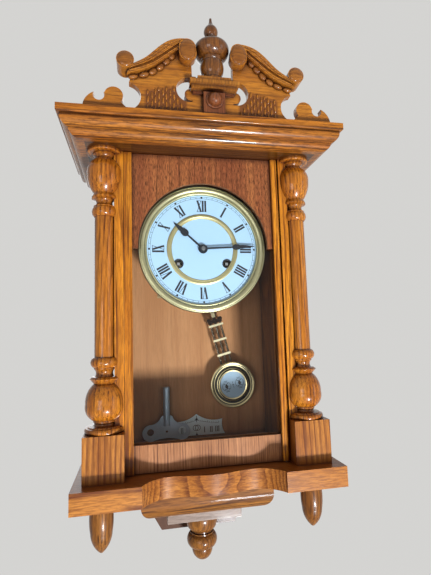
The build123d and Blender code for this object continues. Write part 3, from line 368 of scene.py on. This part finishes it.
# painted sheen: the drop block's wood is made pale and greyish
dress(
    wood("oak_block", BLOCK_SHEEN, "X", (0.13, 0.30, 0.20), 5.0, 1.8, rough=0.45, pore=0.5, coat=0.3),
    "drop_block",
)
dress(wood("oak_turned", GOLD, "Z", (0.06, 0.14, 0.11), 4.6, 1.2, rough=0.26, pore=0.9), "columns")
dress(wood("oak_drops", DROP, "Z", (0.02, 0.14, 0.31), 4.0, 1.2, pore=0.9, coat=0.35), "turned_drops")
dress(
    wood(
        "oak_panel", RED, "Z", (0.09, 0.50, 0.40), 2.2, 0.5, rough=0.40, pore=0.6,
        dash=0.75, pitch=1450.0, coat=0.2,
    ),
    "door_top_panel",
)
dress(
    wood("oak_rail", RAIL, "Z", (0.20, 0.45, 0.10), 1.6, 0.25, rough=0.38, pore=0.9, dash=0.2, coat=0.25),
    "door_rails",
)

# one board served for the crest, so its parts share the heart and the rings
CREST_BOARD = ("X", (0.10, 0.25, 0.15), 5.0, 1.6)
crest_wood = dress(wood("crest_wood", CREST, *CREST_BOARD, rough=0.30, pore=0.55), "swan_necks")
dress(wood("crest_board_wood", CREST, *CREST_BOARD, pore=0.5, carve=gouges), "crest_board")
dress(
    wood("pedestal_wood", POST, "Z", (0.30, 0.25, 0.30), 3.4, 1.0, rough=0.30, pore=0.6, tint=shelf),
    "crest_pedestal",
)
cap_wood = wood("cap_wood", CAPS, *CREST_BOARD, rough=0.26, pore=0.5)
bead_wood = wood("bead_wood", CAPS, *CREST_BOARD, rough=0.36, pore=0.5)
dress(
    wood("urn_wood", URN, "Z", (0.05, 0.10, 0.1), 4.0, 1.0, rough=0.20, pore=0.6, coat=0.8),
    "urn_finial",
)
dress(
    wood(
        "back_wood", BACK, "Z", (0.04, 0.60, 0.2), 2.6, 0.7, rough=0.5, pore=0.20,
        dash=0.12, coat=0.1, tint=tongue,
    ),
    "back_board", "case_floor", "door_glass_beads",
)
dress(wood("side_wood", SIDE, "Z", (0.50, 0.10, 0.2), 4.2, 1.4, rough=0.36), "side_panels")


# ---------------------------------------------------------------- metal, paint and glass
def metal(name, colour, tarnish, rough, metallic=1.0):
    """Metal with faint tarnish and fine working marks."""
    n = Nodes(name)
    cloud = n.noise(n.place(), 34.0, 3.0, 0.6)
    marks = n.noise(n.place(), 260.0, 3.0, 0.6)
    shade = n.mix(colour, tarnish, n.ramp(cloud, (0.38, 0.0), (0.72, 1.0)))
    n.bump(marks, strength=0.02, distance=0.0001)
    dull = n.math("ADD", rough - 0.06, n.math("MULTIPLY", marks, 0.14))
    return n.surface(shade, dull, Metallic=metallic)


def bob_metal():
    """Pressed bob: a gold rim and a gold inner ring with a dark band between them."""
    span = 32.0  # what the ramps cover, out from the bob's middle
    n = Nodes("bob_brass")
    share = n.math("DIVIDE", away(n, *BOB_AT), span * MM)
    band = n.ramp(share, (0.0, 0.0), (0.620, 0.0), (0.632, 1.0), (0.872, 1.0), (0.882, 0.0))
    lines = n.ramp(
        share, (0.0, 0.0),
        (0.668, 0.0), (0.674, 1.0), (0.690, 1.0), (0.696, 0.0),
        (0.790, 0.0), (0.796, 0.8), (0.822, 0.8), (0.830, 0.0),
    )
    dark = n.math("SUBTRACT", band, lines, clamp=True)
    cloud = n.noise(n.place(), 60.0, 3.0, 0.6)
    gold = n.mix((0.72, 0.61, 0.34), (0.56, 0.46, 0.24), n.ramp(cloud, (0.4, 0.0), (0.7, 1.0)))
    n.bump(n.noise(n.place(), 500.0), strength=0.04, distance=0.0001)
    return n.surface(n.mix(gold, (0.035, 0.032, 0.027), dark), 0.30, Metallic=1.0)


def head_metal():
    """The pendulum's top strip in brass, with its clamp blackened."""
    span = 120.0  # what the ramp covers, down from the suspension
    n = Nodes("hanger_brass")
    share = n.math("DIVIDE", away(n, 0, PIVOT_Z), span * MM)
    dark = n.ramp(share, (0.0, 0.0), (0.852, 0.0), (0.862, 1.0), (1.0, 1.0))
    cloud = n.noise(n.place(), 300.0, 3.0, 0.6)
    gold = n.mix((0.62, 0.55, 0.36), (0.40, 0.34, 0.20), cloud)
    return n.surface(n.mix(gold, (0.030, 0.018, 0.014), dark), 0.34, Metallic=0.9)


def paint(name, colour, other, rough):
    """Smooth paint with a faint unevenness."""
    n = Nodes(name)
    cloud = n.noise(n.place(), 18.0)
    n.bump(n.noise(n.place(), 700.0), strength=0.03, distance=0.00005)
    return n.surface(n.mix(colour, other, cloud), rough, Coat_Weight=0.35, Coat_Roughness=0.06)


def glass():
    """A clear pane: it lets everything through, and its front faces reflect by angle."""
    n = Nodes("door_glass")
    n.tree.nodes.remove(n.bsdf)
    clear = n.add("ShaderNodeBsdfTransparent")
    clear.inputs["Color"].default_value = (0.985, 0.99, 0.985, 1)
    gloss = n.add("ShaderNodeBsdfGlossy")
    gloss.inputs["Roughness"].default_value = 0.02
    sheen = n.add("ShaderNodeFresnel")
    sheen.inputs["IOR"].default_value = 1.35
    back = n.add("ShaderNodeNewGeometry").outputs["Backfacing"]
    n.blend_shaders(n.math("MULTIPLY", sheen.outputs[0], n.math("SUBTRACT", 1.0, back)), clear, gloss)
    return n.mat


dress(
    metal("brass", (0.72, 0.60, 0.34), (0.60, 0.50, 0.28), 0.26),
    "movement_front_plate", "movement_back_plate", "time_barrel", "strike_barrel", "centre_arbor",
    "cannon_pinion", "minute_wheel", "hour_wheel", "third_wheel", "escape_wheel", "strike_wheel", "fly",
    "back_cock", "rating_nut",
)
ring_brass = dress(metal("ring_brass", (0.50, 0.45, 0.25), (0.43, 0.38, 0.19), 0.42), "dial_inner_ring")
dress(metal("nut_steel", (0.30, 0.31, 0.32), (0.20, 0.21, 0.22), 0.35), "hand_nut")
dress(metal("bezel_brass", (0.48, 0.45, 0.27), (0.40, 0.37, 0.21), 0.36), "dial_bezel")
dress(metal("bar_brass", (0.80, 0.72, 0.48), (0.70, 0.60, 0.38), 0.36), "pendulum_bars")
dress(
    metal("steel", (0.50, 0.51, 0.53), (0.40, 0.41, 0.43), 0.34),
    "hanger_plate", "door_pivot_pins", "catch_strike", "movement_pillars", "movement_brackets",
    "time_winding_arbor", "strike_winding_arbor", "hammer", "anchor_and_crutch",
)
dress(metal("key_steel", (0.46, 0.58, 0.70), (0.32, 0.42, 0.52), 0.40, metallic=0.5), "winding_key")
dress(metal("bronzed_rod", (0.10, 0.08, 0.055), (0.05, 0.04, 0.03), 0.4), "pendulum_rods")
wire = metal("twisted_wire", (0.30, 0.25, 0.18), (0.16, 0.12, 0.08), 0.35)
dress(metal("iron", (0.03, 0.03, 0.03), (0.05, 0.05, 0.05), 0.6, metallic=0.3), "gong", "magnetic_catch")
hand_black = dress(
    metal("hand_black", (0.020, 0.024, 0.034), (0.030, 0.034, 0.044), 0.35, metallic=0.5),
    "hour_hand", "minute_hand",
)
dress(bob_metal(), "pendulum_bob")
dress(head_metal(), "pendulum_hanger")
dress(paint("dial_white", (0.48, 0.715, 0.96), (0.45, 0.69, 0.94), 0.24), "dial_plate")
dress(paint("plate_white", (0.84, 0.97, 1.0), (0.78, 0.92, 0.98), 0.34), "beat_scale")
dress(paint("bob_white", (0.38, 0.53, 0.67), (0.32, 0.46, 0.60), 0.34), "bob_face")
print_ink = paint("print_ink", (0.005, 0.006, 0.010), (0.010, 0.011, 0.016), 0.5)
soft_ink = paint("soft_ink", (0.040, 0.055, 0.075), (0.06, 0.075, 0.10), 0.5)
dress(glass(), "door_glass")


# ---------------------------------------------------------------- helpers for the pieces
def add_mesh(name, points, faces, look, body, smooth=False):
    """Makes one piece in mm, puts it on its body and gives it its look."""
    mesh = bpy.data.meshes.new(name)
    mesh.from_pydata([(x * MM, y * MM, z * MM) for x, y, z in points], [], faces)
    mesh.materials.append(look)
    if smooth:
        mesh.polygons.foreach_set("use_smooth", [True] * len(mesh.polygons))
    mesh.update()
    piece = bpy.data.objects.new(name, mesh)
    bpy.context.scene.collection.objects.link(piece)
    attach(piece, body)


def tube_faces(first, rings, sides):
    """Faces between rings of points, each ring with as many points as the tube has sides."""
    faces = []
    for ring in range(rings - 1):
        p = first + ring * sides
        q = p + sides
        for k in range(sides):
            after = (k + 1) % sides
            faces.append((p + k, p + after, q + after, q + k))
    return faces


def turned_faces(first, steps, stations):
    """Faces of a turned surface: steps round it, each with the stations of the profile."""
    faces = []
    for i in range(steps):
        p = first + i * stations
        q = first + (i + 1) % steps * stations
        faces += [(p + k, p + k + 1, q + k + 1, q + k) for k in range(stations - 1)]
    return faces


def around(i, steps):
    """The angle of one of the equal steps round a circle."""
    return 2 * math.pi * i / steps


def round_point(radius, degrees):
    """A point of a circle as (across, up), clockwise from twelve."""
    angle = math.radians(degrees)
    return radius * math.sin(angle), radius * math.cos(angle)


class Print:
    """Flat marks on a front face, gathered into one piece. Points are (across, up) in mm from a middle."""

    def __init__(self, middle, depth, turn=0.0):
        self.middle = middle
        self.depth = depth
        self.cos = math.cos(turn)
        self.sin = math.sin(turn)
        self.points = []
        self.faces = []

    def polygon(self, corners):
        first = len(self.points)
        for u, v in corners:
            x = self.middle[0] + u * self.cos + v * self.sin
            z = self.middle[1] - u * self.sin + v * self.cos
            self.points.append((x, -self.depth, z))
        self.faces.append(tuple(range(first, first + len(corners))))

    def bar(self, start, end, width):
        """A straight stroke."""
        along = Vector((end[0] - start[0], end[1] - start[1])).normalized()
        side = Vector((-along[1], along[0])) * width / 2
        self.polygon([
            (start[0] - side[0], start[1] - side[1]),
            (end[0] - side[0], end[1] - side[1]),
            (end[0] + side[0], end[1] + side[1]),
            (start[0] + side[0], start[1] + side[1]),
        ])

    def ring(self, radius, width, steps=120, middle=(0, 0)):
        inner = radius - width / 2
        outer = radius + width / 2
        for i in range(steps):
            a = 360.0 * i / steps
            b = 360.0 * (i + 1) / steps
            corners = [round_point(*corner) for corner in ((inner, a), (outer, a), (outer, b), (inner, b))]
            self.polygon([(middle[0] + u, middle[1] + v) for u, v in corners])

    def dot(self, at, radius, steps=16):
        edge = [round_point(radius, 360.0 * i / steps) for i in range(steps)]
        self.polygon([(at[0] + u, at[1] + v) for u, v in edge])

    def make(self, name, look, body):
        add_mesh(name, self.points, self.faces, look, body)


def lathe(name, profile, middle, face, look, steps):
    """A turned piece of the case that faces the front. profile is (radius, proud of the face)."""
    points = []
    for i in range(steps):
        a = around(i, steps)
        points += [(middle[0] + r * math.sin(a), -face - h, middle[1] + r * math.cos(a)) for r, h in profile]
    faces = turned_faces(0, steps, len(profile))
    add_mesh(name, points, faces, look, "clock_case", smooth=True)


# ---------------------------------------------------------------- dial
THICK, THIN, SERIF = 2.3, 0.65, 0.5  # widths of a letter's strokes

# each letter has its width, its strokes as (start, end, width), and the serifs at its foot and its top;
# places are in mm across from the letter's middle, and 0 for its foot or 1 for its top
LETTERS = {
    "I": (3.2, [((0, 0), (0, 1), THICK)], [(-1.35, 1.35)] * 2),
    "V": (6.0, [((-2.15, 1), (0.2, 0), THICK), ((2.45, 1), (0.3, 0), THIN)], [None, (-3.35, 3.25)]),
    "X": (6.0, [((-2.15, 1), (2.15, 0), THICK), ((2.45, 1), (-2.45, 0), THIN)], [(-3.15, 3.15)] * 2),
}


def numeral(page, text, angle, foot, height):
    """A Roman numeral set on a radius, its foot towards the middle. angle is clockwise from twelve."""
    turn = math.radians(angle)
    c, s = math.cos(turn), math.sin(turn)

    def stroke(start, end, width):
        ends = [(u * c + (foot + v) * s, -u * s + (foot + v) * c) for u, v in (start, end)]
        page.bar(*ends, width)

    left = -sum(LETTERS[letter][0] for letter in text) / 2
    for letter in text:
        width, strokes, serifs = LETTERS[letter]
        mid = left + width / 2
        for start, end, thickness in strokes:
            stroke((mid + start[0], start[1] * height), (mid + end[0], end[1] * height), thickness)
        for level, serif in zip((SERIF / 2, height - SERIF / 2), serifs):
            if serif:
                stroke((mid + serif[0], level), (mid + serif[1], level), SERIF)
        left += width


def dial_print():
    """The hour numerals, the minute track and a dot at each hour."""
    foot, height = 47.2, 14.4
    track_inner, track_outer = 64.1, 66.4
    ring_width, tick_width = 0.4, 0.45
    dot_at, dot_radius = 65.4, 1.25
    texts = ["XII", "I", "II", "III", "IIII", "V", "VI", "VII", "VIII", "IX", "X", "XI"]

    numerals = Print(DIAL_AT, DIAL_FACE + INK_RISE)
    for hour, text in enumerate(texts):
        numeral(numerals, text, 30 * hour, foot, height)
    numerals.make("dial_numerals", print_ink, "clock_case")

    track = Print(DIAL_AT, DIAL_FACE + INK_RISE - INK_LAYER)
    track.ring(track_inner, ring_width)
    track.ring(track_outer, ring_width)
    for minute in range(60):
        track.bar(round_point(track_inner, 6 * minute), round_point(track_outer, 6 * minute), tick_width)
    track.make("dial_minute_track", soft_ink, "clock_case")

    dots = Print(DIAL_AT, DIAL_FACE + INK_RISE + INK_LAYER)
    for hour in range(12):
        dots.dot(round_point(dot_at, 30 * hour), dot_radius)
    dots.make("dial_hour_dots", print_ink, "clock_case")


def dial_trim():
    """The raised inner lip of the dial's ring and the grommets of the two winding holes."""
    lip = [(40.4, 0.0), (40.2, 0.7), (39.6, 0.9), (38.6, 0.8), (38.2, 0.3), (38.1, 0.0)]
    lathe("dial_ring_lip", lip, DIAL_AT, DIAL_FACE, ring_brass, 120)
    grommet = [(6.0, 0.0), (5.9, 0.5), (5.4, 0.8), (4.8, 0.75), (4.3, 0.3), (4.2, -0.6), (4.1, -3.0)]
    for arbor, label in (("strike_winding_arbor", "left"), ("time_winding_arbor", "right")):
        name = "winding_grommet_" + label
        lathe(name, grommet, middle_of(arbor), DIAL_FACE, hand_black, 40)


# ---------------------------------------------------------------- bob, rods and beat scale
def bob_marks():
    """Two plain ornaments and a centre mark, set square to the pendulum."""
    page = Print(BOB_AT, face_of("bob_face") + INK_RISE, -SWING)
    ornament_at = 9.4  # each side of the middle
    diamond_half, diamond_tall = 2.3, 4.4
    ring_radius, ring_width = 5.9, 0.45
    shoulder, shoulder_inner, shoulder_outer, shoulder_width = 3.6, 1.4, 3.2, 0.9
    brow, brow_half, brow_width = 7.2, 2.6, 0.6
    for middle in (-ornament_at, ornament_at):
        left, right = middle - diamond_half, middle + diamond_half
        page.polygon([(left, 0), (middle, -diamond_tall), (right, 0), (middle, diamond_tall)])
        page.ring(ring_radius, ring_width, 40, (middle, 0))
        for rise in (-1, 1):
            level = shoulder * rise
            page.bar((middle - shoulder_outer, level), (middle - shoulder_inner, level), shoulder_width)
            page.bar((middle + shoulder_inner, level), (middle + shoulder_outer, level), shoulder_width)
            page.bar((middle - brow_half, brow * rise), (middle + brow_half, brow * rise), brow_width)
    cross = [
        ((0, -4.6), (0, -2.2), 0.5), ((0, 2.2), (0, 4.6), 0.5),
        ((-1.6, 0), (1.6, 0), 0.6), ((0, -1.6), (0, 1.6), 0.6),
    ]
    for start, end, width in cross:
        page.bar(start, end, width)
    page.make("bob_marks", print_ink, "bob")


def scale_marks():
    """The beat scale's ticks, strokes and middle ornament, measured up from a line just below the scale."""
    line = edges("beat_scale")[0][2] - 3.0
    page = Print((0, line), face_of("beat_scale") + INK_RISE)
    arch_rise, arch_half = 5.2, 36
    under_ticks, tick_line = 18.0, 20.6  # heights at the arch's ends
    ticks, spacing, tick_width, arch_width = 12, 2.6, 0.45, 0.3
    tick_foot, short_top, long_top = 2.6, 1.2, 0.4  # down from the ticks' line
    stroke_foot, stroke_top, stroke_width, stroke_gap = 6.4, 13.6, 1.1, 2.2
    stroke_groups = ((11.0, 1), (20.5, 2), (29.0, 3))  # (across, count)
    serif_half, serif_width = 0.95, 0.35

    def arch(u, height):
        """Height of a line that follows the scale's arched top edge."""
        return height + arch_rise * (1 - abs(u) / arch_half) ** 2

    for side in (-1, 1):
        for step in range(1, ticks + 1):
            u = spacing * step * side
            top = arch(u, tick_line)
            drop = long_top if step % 3 == 0 else short_top
            page.bar((u, top - tick_foot), (u, top - drop), tick_width)
        for step in range(ticks):
            a, b = [spacing * end * side for end in (step, step + 1)]
            page.bar((a, arch(a, under_ticks)), (b, arch(b, under_ticks)), arch_width)
        for group_at, count in stroke_groups:
            for i in range(count):
                u = (group_at + stroke_gap * (i - (count - 1) / 2)) * side
                page.bar((u, stroke_foot), (u, stroke_top), stroke_width)
                for level in (stroke_top, stroke_foot):
                    page.bar((u - serif_half, level), (u + serif_half, level), serif_width)

    page.bar((0, 20.5), (0, 29.0), 0.8)
    page.polygon([(-2.2, 23.2), (2.2, 23.2), (0, 27.6)])
    for across in (-1.5, 1.5):
        page.ring(3.6, 0.7, 32, (across, 13.0))
    page.bar((0, 3.2), (0, 7.6), 0.6)
    page.polygon([(-1.6, 3.2), (1.6, 3.2), (0, 6.6)])
    page.make("beat_scale_marks", print_ink, "clock_case")


def rod_twist(name, x):
    """Two strands of wire wound round a pendulum rod, between the clamp and the bob's highest place."""
    start, end = 111.5, 165.2  # from the suspension
    pitch, coil_radius, wire_radius = 4.2, 1.25, 0.55
    sides, per_turn = 6, 14
    count = int((end - start) / pitch * per_turn)
    points, faces = [], []
    c, s = math.cos(SWING), math.sin(SWING)
    for strand in (0.0, math.pi):
        first = len(points)
        for i in range(count + 1):
            a = around(i, per_turn) + strand
            down = start + (end - start) * i / count
            for side in range(sides):
                b = around(side, sides)
                r = coil_radius + wire_radius * math.cos(b)
                u = x + r * math.cos(a)
                v = down + wire_radius * math.sin(b)
                points.append((u * c + v * s, -PENDULUM_DEPTH - r * math.sin(a), PIVOT_Z + u * s - v * c))
        faces += tube_faces(first, count + 1, sides)
    add_mesh(name, points, faces, wire, "pendulum", smooth=True)


# ---------------------------------------------------------------- crest
def crest_point(side, out, proud, up):
    """A place on one side of the crest: out from its middle, proud of its face, up from the cornice."""
    return CREST_SHIFT + side * out, -(CREST_FACE + proud), CORNICE_TOP + up


def add_crest_piece(name, points, faces, look):
    add_mesh(name, points, faces, look, "clock_case", smooth=True)


def pebble(points, faces, side, at, radii, lean, thick, proud=0.0, rows=8, columns=16):
    """Adds one flat oval swelling to the crest. at, radii and lean (in degrees) lie in its face."""
    c, s = math.cos(math.radians(lean)), math.sin(math.radians(lean))
    first = len(points)
    for i in range(rows + 1):
        t = math.pi * i / rows
        for j in range(columns):
            a = around(j, columns)
            u = radii[0] * math.sin(t) * math.cos(a)
            v = radii[1] * math.sin(t) * math.sin(a)
            out = at[0] + u * c - v * s
            up = at[1] + u * s + v * c
            points.append(crest_point(side, out, proud + thick * math.cos(t), up))
    faces += tube_faces(first, rows + 1, columns)


def beads():
    """The row of long flat beads under each swan neck, smaller towards its foot."""
    centres = [(47.0, 72.0), (53.6, 64.8), (60.4, 57.2), (68.6, 50.8), (78.4, 46.2), (90.4, 42.6)]
    radii = [(5.4, 4.4), (5.4, 4.4), (5.4, 4.2), (5.4, 3.8), (6.0, 3.4), (5.6, 3.0)]
    leans = [-48, -47, -47, -36, -20, -12]
    for side, label in SIDES:
        points, faces = [], []
        for at, size, lean in zip(centres, radii, leans):
            pebble(points, faces, side, at, size, lean, thick=2.8, proud=1.2)
        add_crest_piece("neck_beads_" + label, points, faces, bead_wood)


def carved_ridges():
    """The upright ridges left between the gouge cuts of the crest's lower field, in staggered rows."""
    draw = random.Random(7)
    columns, spacing, slope = 11, 4.1, 0.24
    low, high = 3.4, 41.0  # foot of the field and its top beside the pedestal
    length, gap, shortest = 10.0, 0.8, 3.0
    keep_off = 1.8  # from the round opening
    for side, label in SIDES:
        points, faces = [], []
        for column in range(columns):
            u = FIELD_START + spacing * column
            top = high - slope * (u - FIELD_START)
            h = low - (column % 2) * 0.5 * length
            while h < top:
                start = max(h, low)
                end = min(h + length, top) - gap
                h += length
                nearest = min(max(OPENING_AT[1], start), end)
                from_opening = math.hypot(u - OPENING_AT[0], nearest - OPENING_AT[1]) - OPENING_RADIUS
                if from_opening > keep_off and end - start > shortest:
                    at = (u + draw.uniform(-0.4, 0.4), (start + end) / 2)
                    size = ((end - start) / 2, draw.uniform(1.15, 1.5))
                    lean = 90 + draw.uniform(-5, 5)
                    pebble(points, faces, side, at, size, lean, thick=1.5, rows=6, columns=10)
        add_crest_piece("carved_ridges_" + label, points, faces, crest_wood)


def smooth_line(points, steps=6):
    """Points along the Catmull-Rom curve through a few given ones."""
    last = len(points) - 1
    line = []
    for i in range(last):
        p0, p1, p2, p3 = [Vector(points[min(max(j, 0), last)]) for j in (i - 1, i, i + 1, i + 2)]
        for step in range(steps):
            t = step / steps
            square = (2 * p0 - 5 * p1 + 4 * p2 - p3) * t**2
            cube = (3 * p1 - p0 - 3 * p2 + p3) * t**3
            line.append(0.5 * (2 * p1 + (p2 - p0) * t + square + cube))
    line.append(Vector(points[last]))
    return line


def neck_reeds():
    """Thin round reeds that run down each swan neck, half of each standing out of its face."""
    sides = 8
    rib, hollow = 0.9 * NECK_PROUD, 0.7 * NECK_PROUD  # where the neck's own face lies under the reeds
    ridge_line = [
        (38.5, 86.4), (48.0, 82.0), (56.6, 75.6), (65.4, 67.4), (74.4, 59.8), (84.6, 54.3), (92.4, 50.6),
    ]
    rib_line = [
        (38.5, 83.8), (47.0, 79.4), (55.2, 73.4), (63.8, 65.2), (73.4, 58.2), (84.4, 52.6), (93.0, 49.0),
    ]
    hollow_line = [(39.6, 79.6), (51.6, 70.6), (62.6, 61.4), (74.6, 53.9), (86.0, 49.2), (94.0, 46.0)]
    reeds = ((ridge_line, rib, 0.8), (rib_line, rib, 0.6), (hollow_line, hollow, 0.9))
    for side, label in SIDES:
        points, faces = [], []
        for line, proud, radius in reeds:
            path = smooth_line(line)
            first = len(points)
            for i, at in enumerate(path):
                along = (path[min(i + 1, len(path) - 1)] - path[max(i - 1, 0)]).normalized()
                for k in range(sides):
                    a = around(k, sides)
                    u, v = radius * math.cos(a), radius * math.sin(a)
                    points.append(crest_point(side, at[0] - along[1] * u, proud + v, at[1] + along[0] * u))
            faces += tube_faces(first, len(path), sides)
            faces.append(tuple(range(first, first + sides)))
            faces.append(tuple(range(len(points) - sides, len(points))))
        add_crest_piece("neck_reeds_" + label, points, faces, crest_wood)


def scroll_domes():
    """Low rounded caps on the round ends of the swan necks."""
    profile = [
        (1.0, 0.0), (0.98, 0.5), (0.93, 1.1), (0.84, 1.7), (0.70, 2.3), (0.50, 2.8), (0.26, 3.1), (0.0, 3.2),
    ]
    base = NECK_PROUD - 0.1  # the domes start just inside the scrolls' faces
    profile_half_width = 11.0  # a dome this wide each way is as high as the profile says
    steps = 48
    for side, label in SIDES:
        points, faces = [], []
        for out, up, wide, tall in ((29.6, 75.2, 9.0, 12.4), (98.6, 56.8, 8.7, 8.7)):
            first = len(points)
            for i in range(steps):
                a = around(i, steps)
                for share, rise in profile:
                    proud = base + rise * wide / profile_half_width
                    across = out + wide * share * math.sin(a)
                    points.append(crest_point(side, across, proud, up + tall * share * math.cos(a)))
            faces += turned_faces(first, steps, len(profile))
        add_crest_piece("scroll_caps_" + label, points, faces, cap_wood)


dial_print()
dial_trim()
bob_marks()
scale_marks()
for label, x in (("left", -ROD_SPACING), ("middle", 0.0), ("right", ROD_SPACING)):
    rod_twist("rod_twist_" + label, x)
beads()
carved_ridges()
neck_reeds()
scroll_domes()


# ---------------------------------------------------------------- stage and light, in metres
PALE = (0.66, 0.655, 0.64)  # what the camera, gloss and glass see behind the object
FLOOR_REACH = 30.0
FLOOR_DROP = 1.1  # below the clock, which hangs on a wall


def seen(n):
    """1 for the camera's rays and for reflected and transmitted ones, 0 for the light on the object."""
    path = n.add("ShaderNodeLightPath")
    gloss = n.math("MAXIMUM", path.outputs["Is Glossy Ray"], path.outputs["Is Transmission Ray"])
    return n.math("MAXIMUM", path.outputs["Is Camera Ray"], gloss)


def floor_look():
    """Pale matt floor that runs out into the pale background further off."""
    span = 12.0  # what the ramp covers
    n = Nodes("floor_pale")
    cloud = n.noise(n.place(), 1.5)
    n.surface(n.mix((0.62, 0.615, 0.60), (0.60, 0.595, 0.58), cloud), 0.9)
    parts = n.split(n.place())
    far = n.math("SQRT", n.math("ADD", n.math("POWER", parts[0], 2.0), n.math("POWER", parts[1], 2.0)))
    fade = n.ramp(n.math("DIVIDE", far, span), (0.0, 0.55), (0.04, 0.55), (0.11, 1.0))
    glow = n.add("ShaderNodeEmission")
    glow.inputs["Color"].default_value = (*PALE, 1)
    n.blend_shaders(n.math("MULTIPLY", fade, seen(n)), n.bsdf, glow)
    return n.mat


def add_floor():
    low = CAD_BOX[0][2] - FLOOR_DROP
    corners = [(x * FLOOR_REACH, y * FLOOR_REACH, low) for x, y in ((-1, -1), (1, -1), (1, 1), (-1, 1))]
    look = floor_look()
    mesh = bpy.data.meshes.new("floor")
    mesh.from_pydata(corners, [], [(0, 1, 2, 3)])
    mesh.materials.append(look)
    piece = bpy.data.objects.new("floor", mesh)
    bpy.context.scene.collection.objects.link(piece)


class WorldNodes(Nodes):
    """The same short calls for the world's tree."""

    def __init__(self, world):
        self.tree = world.node_tree


def add_world():
    """A faint even light, with the pale background for the camera, gloss and glass."""
    world = bpy.data.worlds.new("studio")
    bpy.context.scene.world = world
    world.use_nodes = True
    n = WorldNodes(world)
    soft = world.node_tree.nodes["Background"]
    soft.inputs["Color"].default_value = (0.97, 0.98, 1.0, 1)
    soft.inputs["Strength"].default_value = 0.18
    pale = n.add("ShaderNodeBackground")
    pale.inputs["Color"].default_value = (*PALE, 1)
    n.blend_shaders(seen(n), soft, pale)


def lamp(name, at, to, size, power, colour):
    """A rectangular lamp that looks from one place to another."""
    data = bpy.data.lights.new(name, "AREA")
    data.shape = "RECTANGLE"
    data.size, data.size_y = size
    data.energy = power
    data.color = colour
    piece = bpy.data.objects.new(name, data)
    bpy.context.scene.collection.objects.link(piece)
    piece.location = at
    piece.rotation_euler = (Vector(to) - Vector(at)).to_track_quat("-Z", "Y").to_euler()


add_floor()
add_world()
lamp("key", (0.45, -1.6, -1.25), (0, -0.1, -0.18), (0.28, 0.22), 43, (0.92, 0.96, 1.0))
lamp("sky", (0.25, -1.5, -1.12), (0, -0.1, -0.2), (1.3, 0.6), 2, (0.82, 0.91, 1.0))
lamp("side", (1.5, -1.2, -0.2), (0, -0.1, -0.15), (0.5, 1.2), 3, (0.93, 0.965, 1.0))
lamp("fill", (-0.7, -1.5, -0.35), (0, -0.1, -0.2), (0.6, 0.6), 4.5, (0.95, 0.975, 1.0))
lamp("behind", (0.0, 1.9, 0.5), (0, 0, -0.1), (1.6, 1.6), 10, (0.97, 0.98, 1.0))


# ---------------------------------------------------------------- camera
CAMERA_AT = (-0.081112, -0.598813, -0.200816)
CAMERA_TURN = Vector((-0.1097, -0.0195, 0.1923))  # axis times angle, from a level view of the front
FOCAL_LENGTH = 25.48  # in mm, on a sensor of 36 mm


def add_camera():
    x_axis, y_axis, z_axis = Matrix.Rotation(CAMERA_TURN.length, 3, CAMERA_TURN)
    facing = Matrix((x_axis, z_axis, -y_axis)).transposed().to_4x4()
    camera = bpy.data.objects.new("camera", bpy.data.cameras.new("camera"))
    bpy.context.scene.collection.objects.link(camera)
    camera.matrix_world = Matrix.Translation(CAMERA_AT) @ facing
    camera.data.sensor_fit = "AUTO"
    camera.data.sensor_width = 36.0
    camera.data.lens = FOCAL_LENGTH
    camera.data.clip_start = 0.01
    bpy.context.scene.camera = camera


add_camera()
bpy.context.scene.view_settings.view_transform = "Standard"
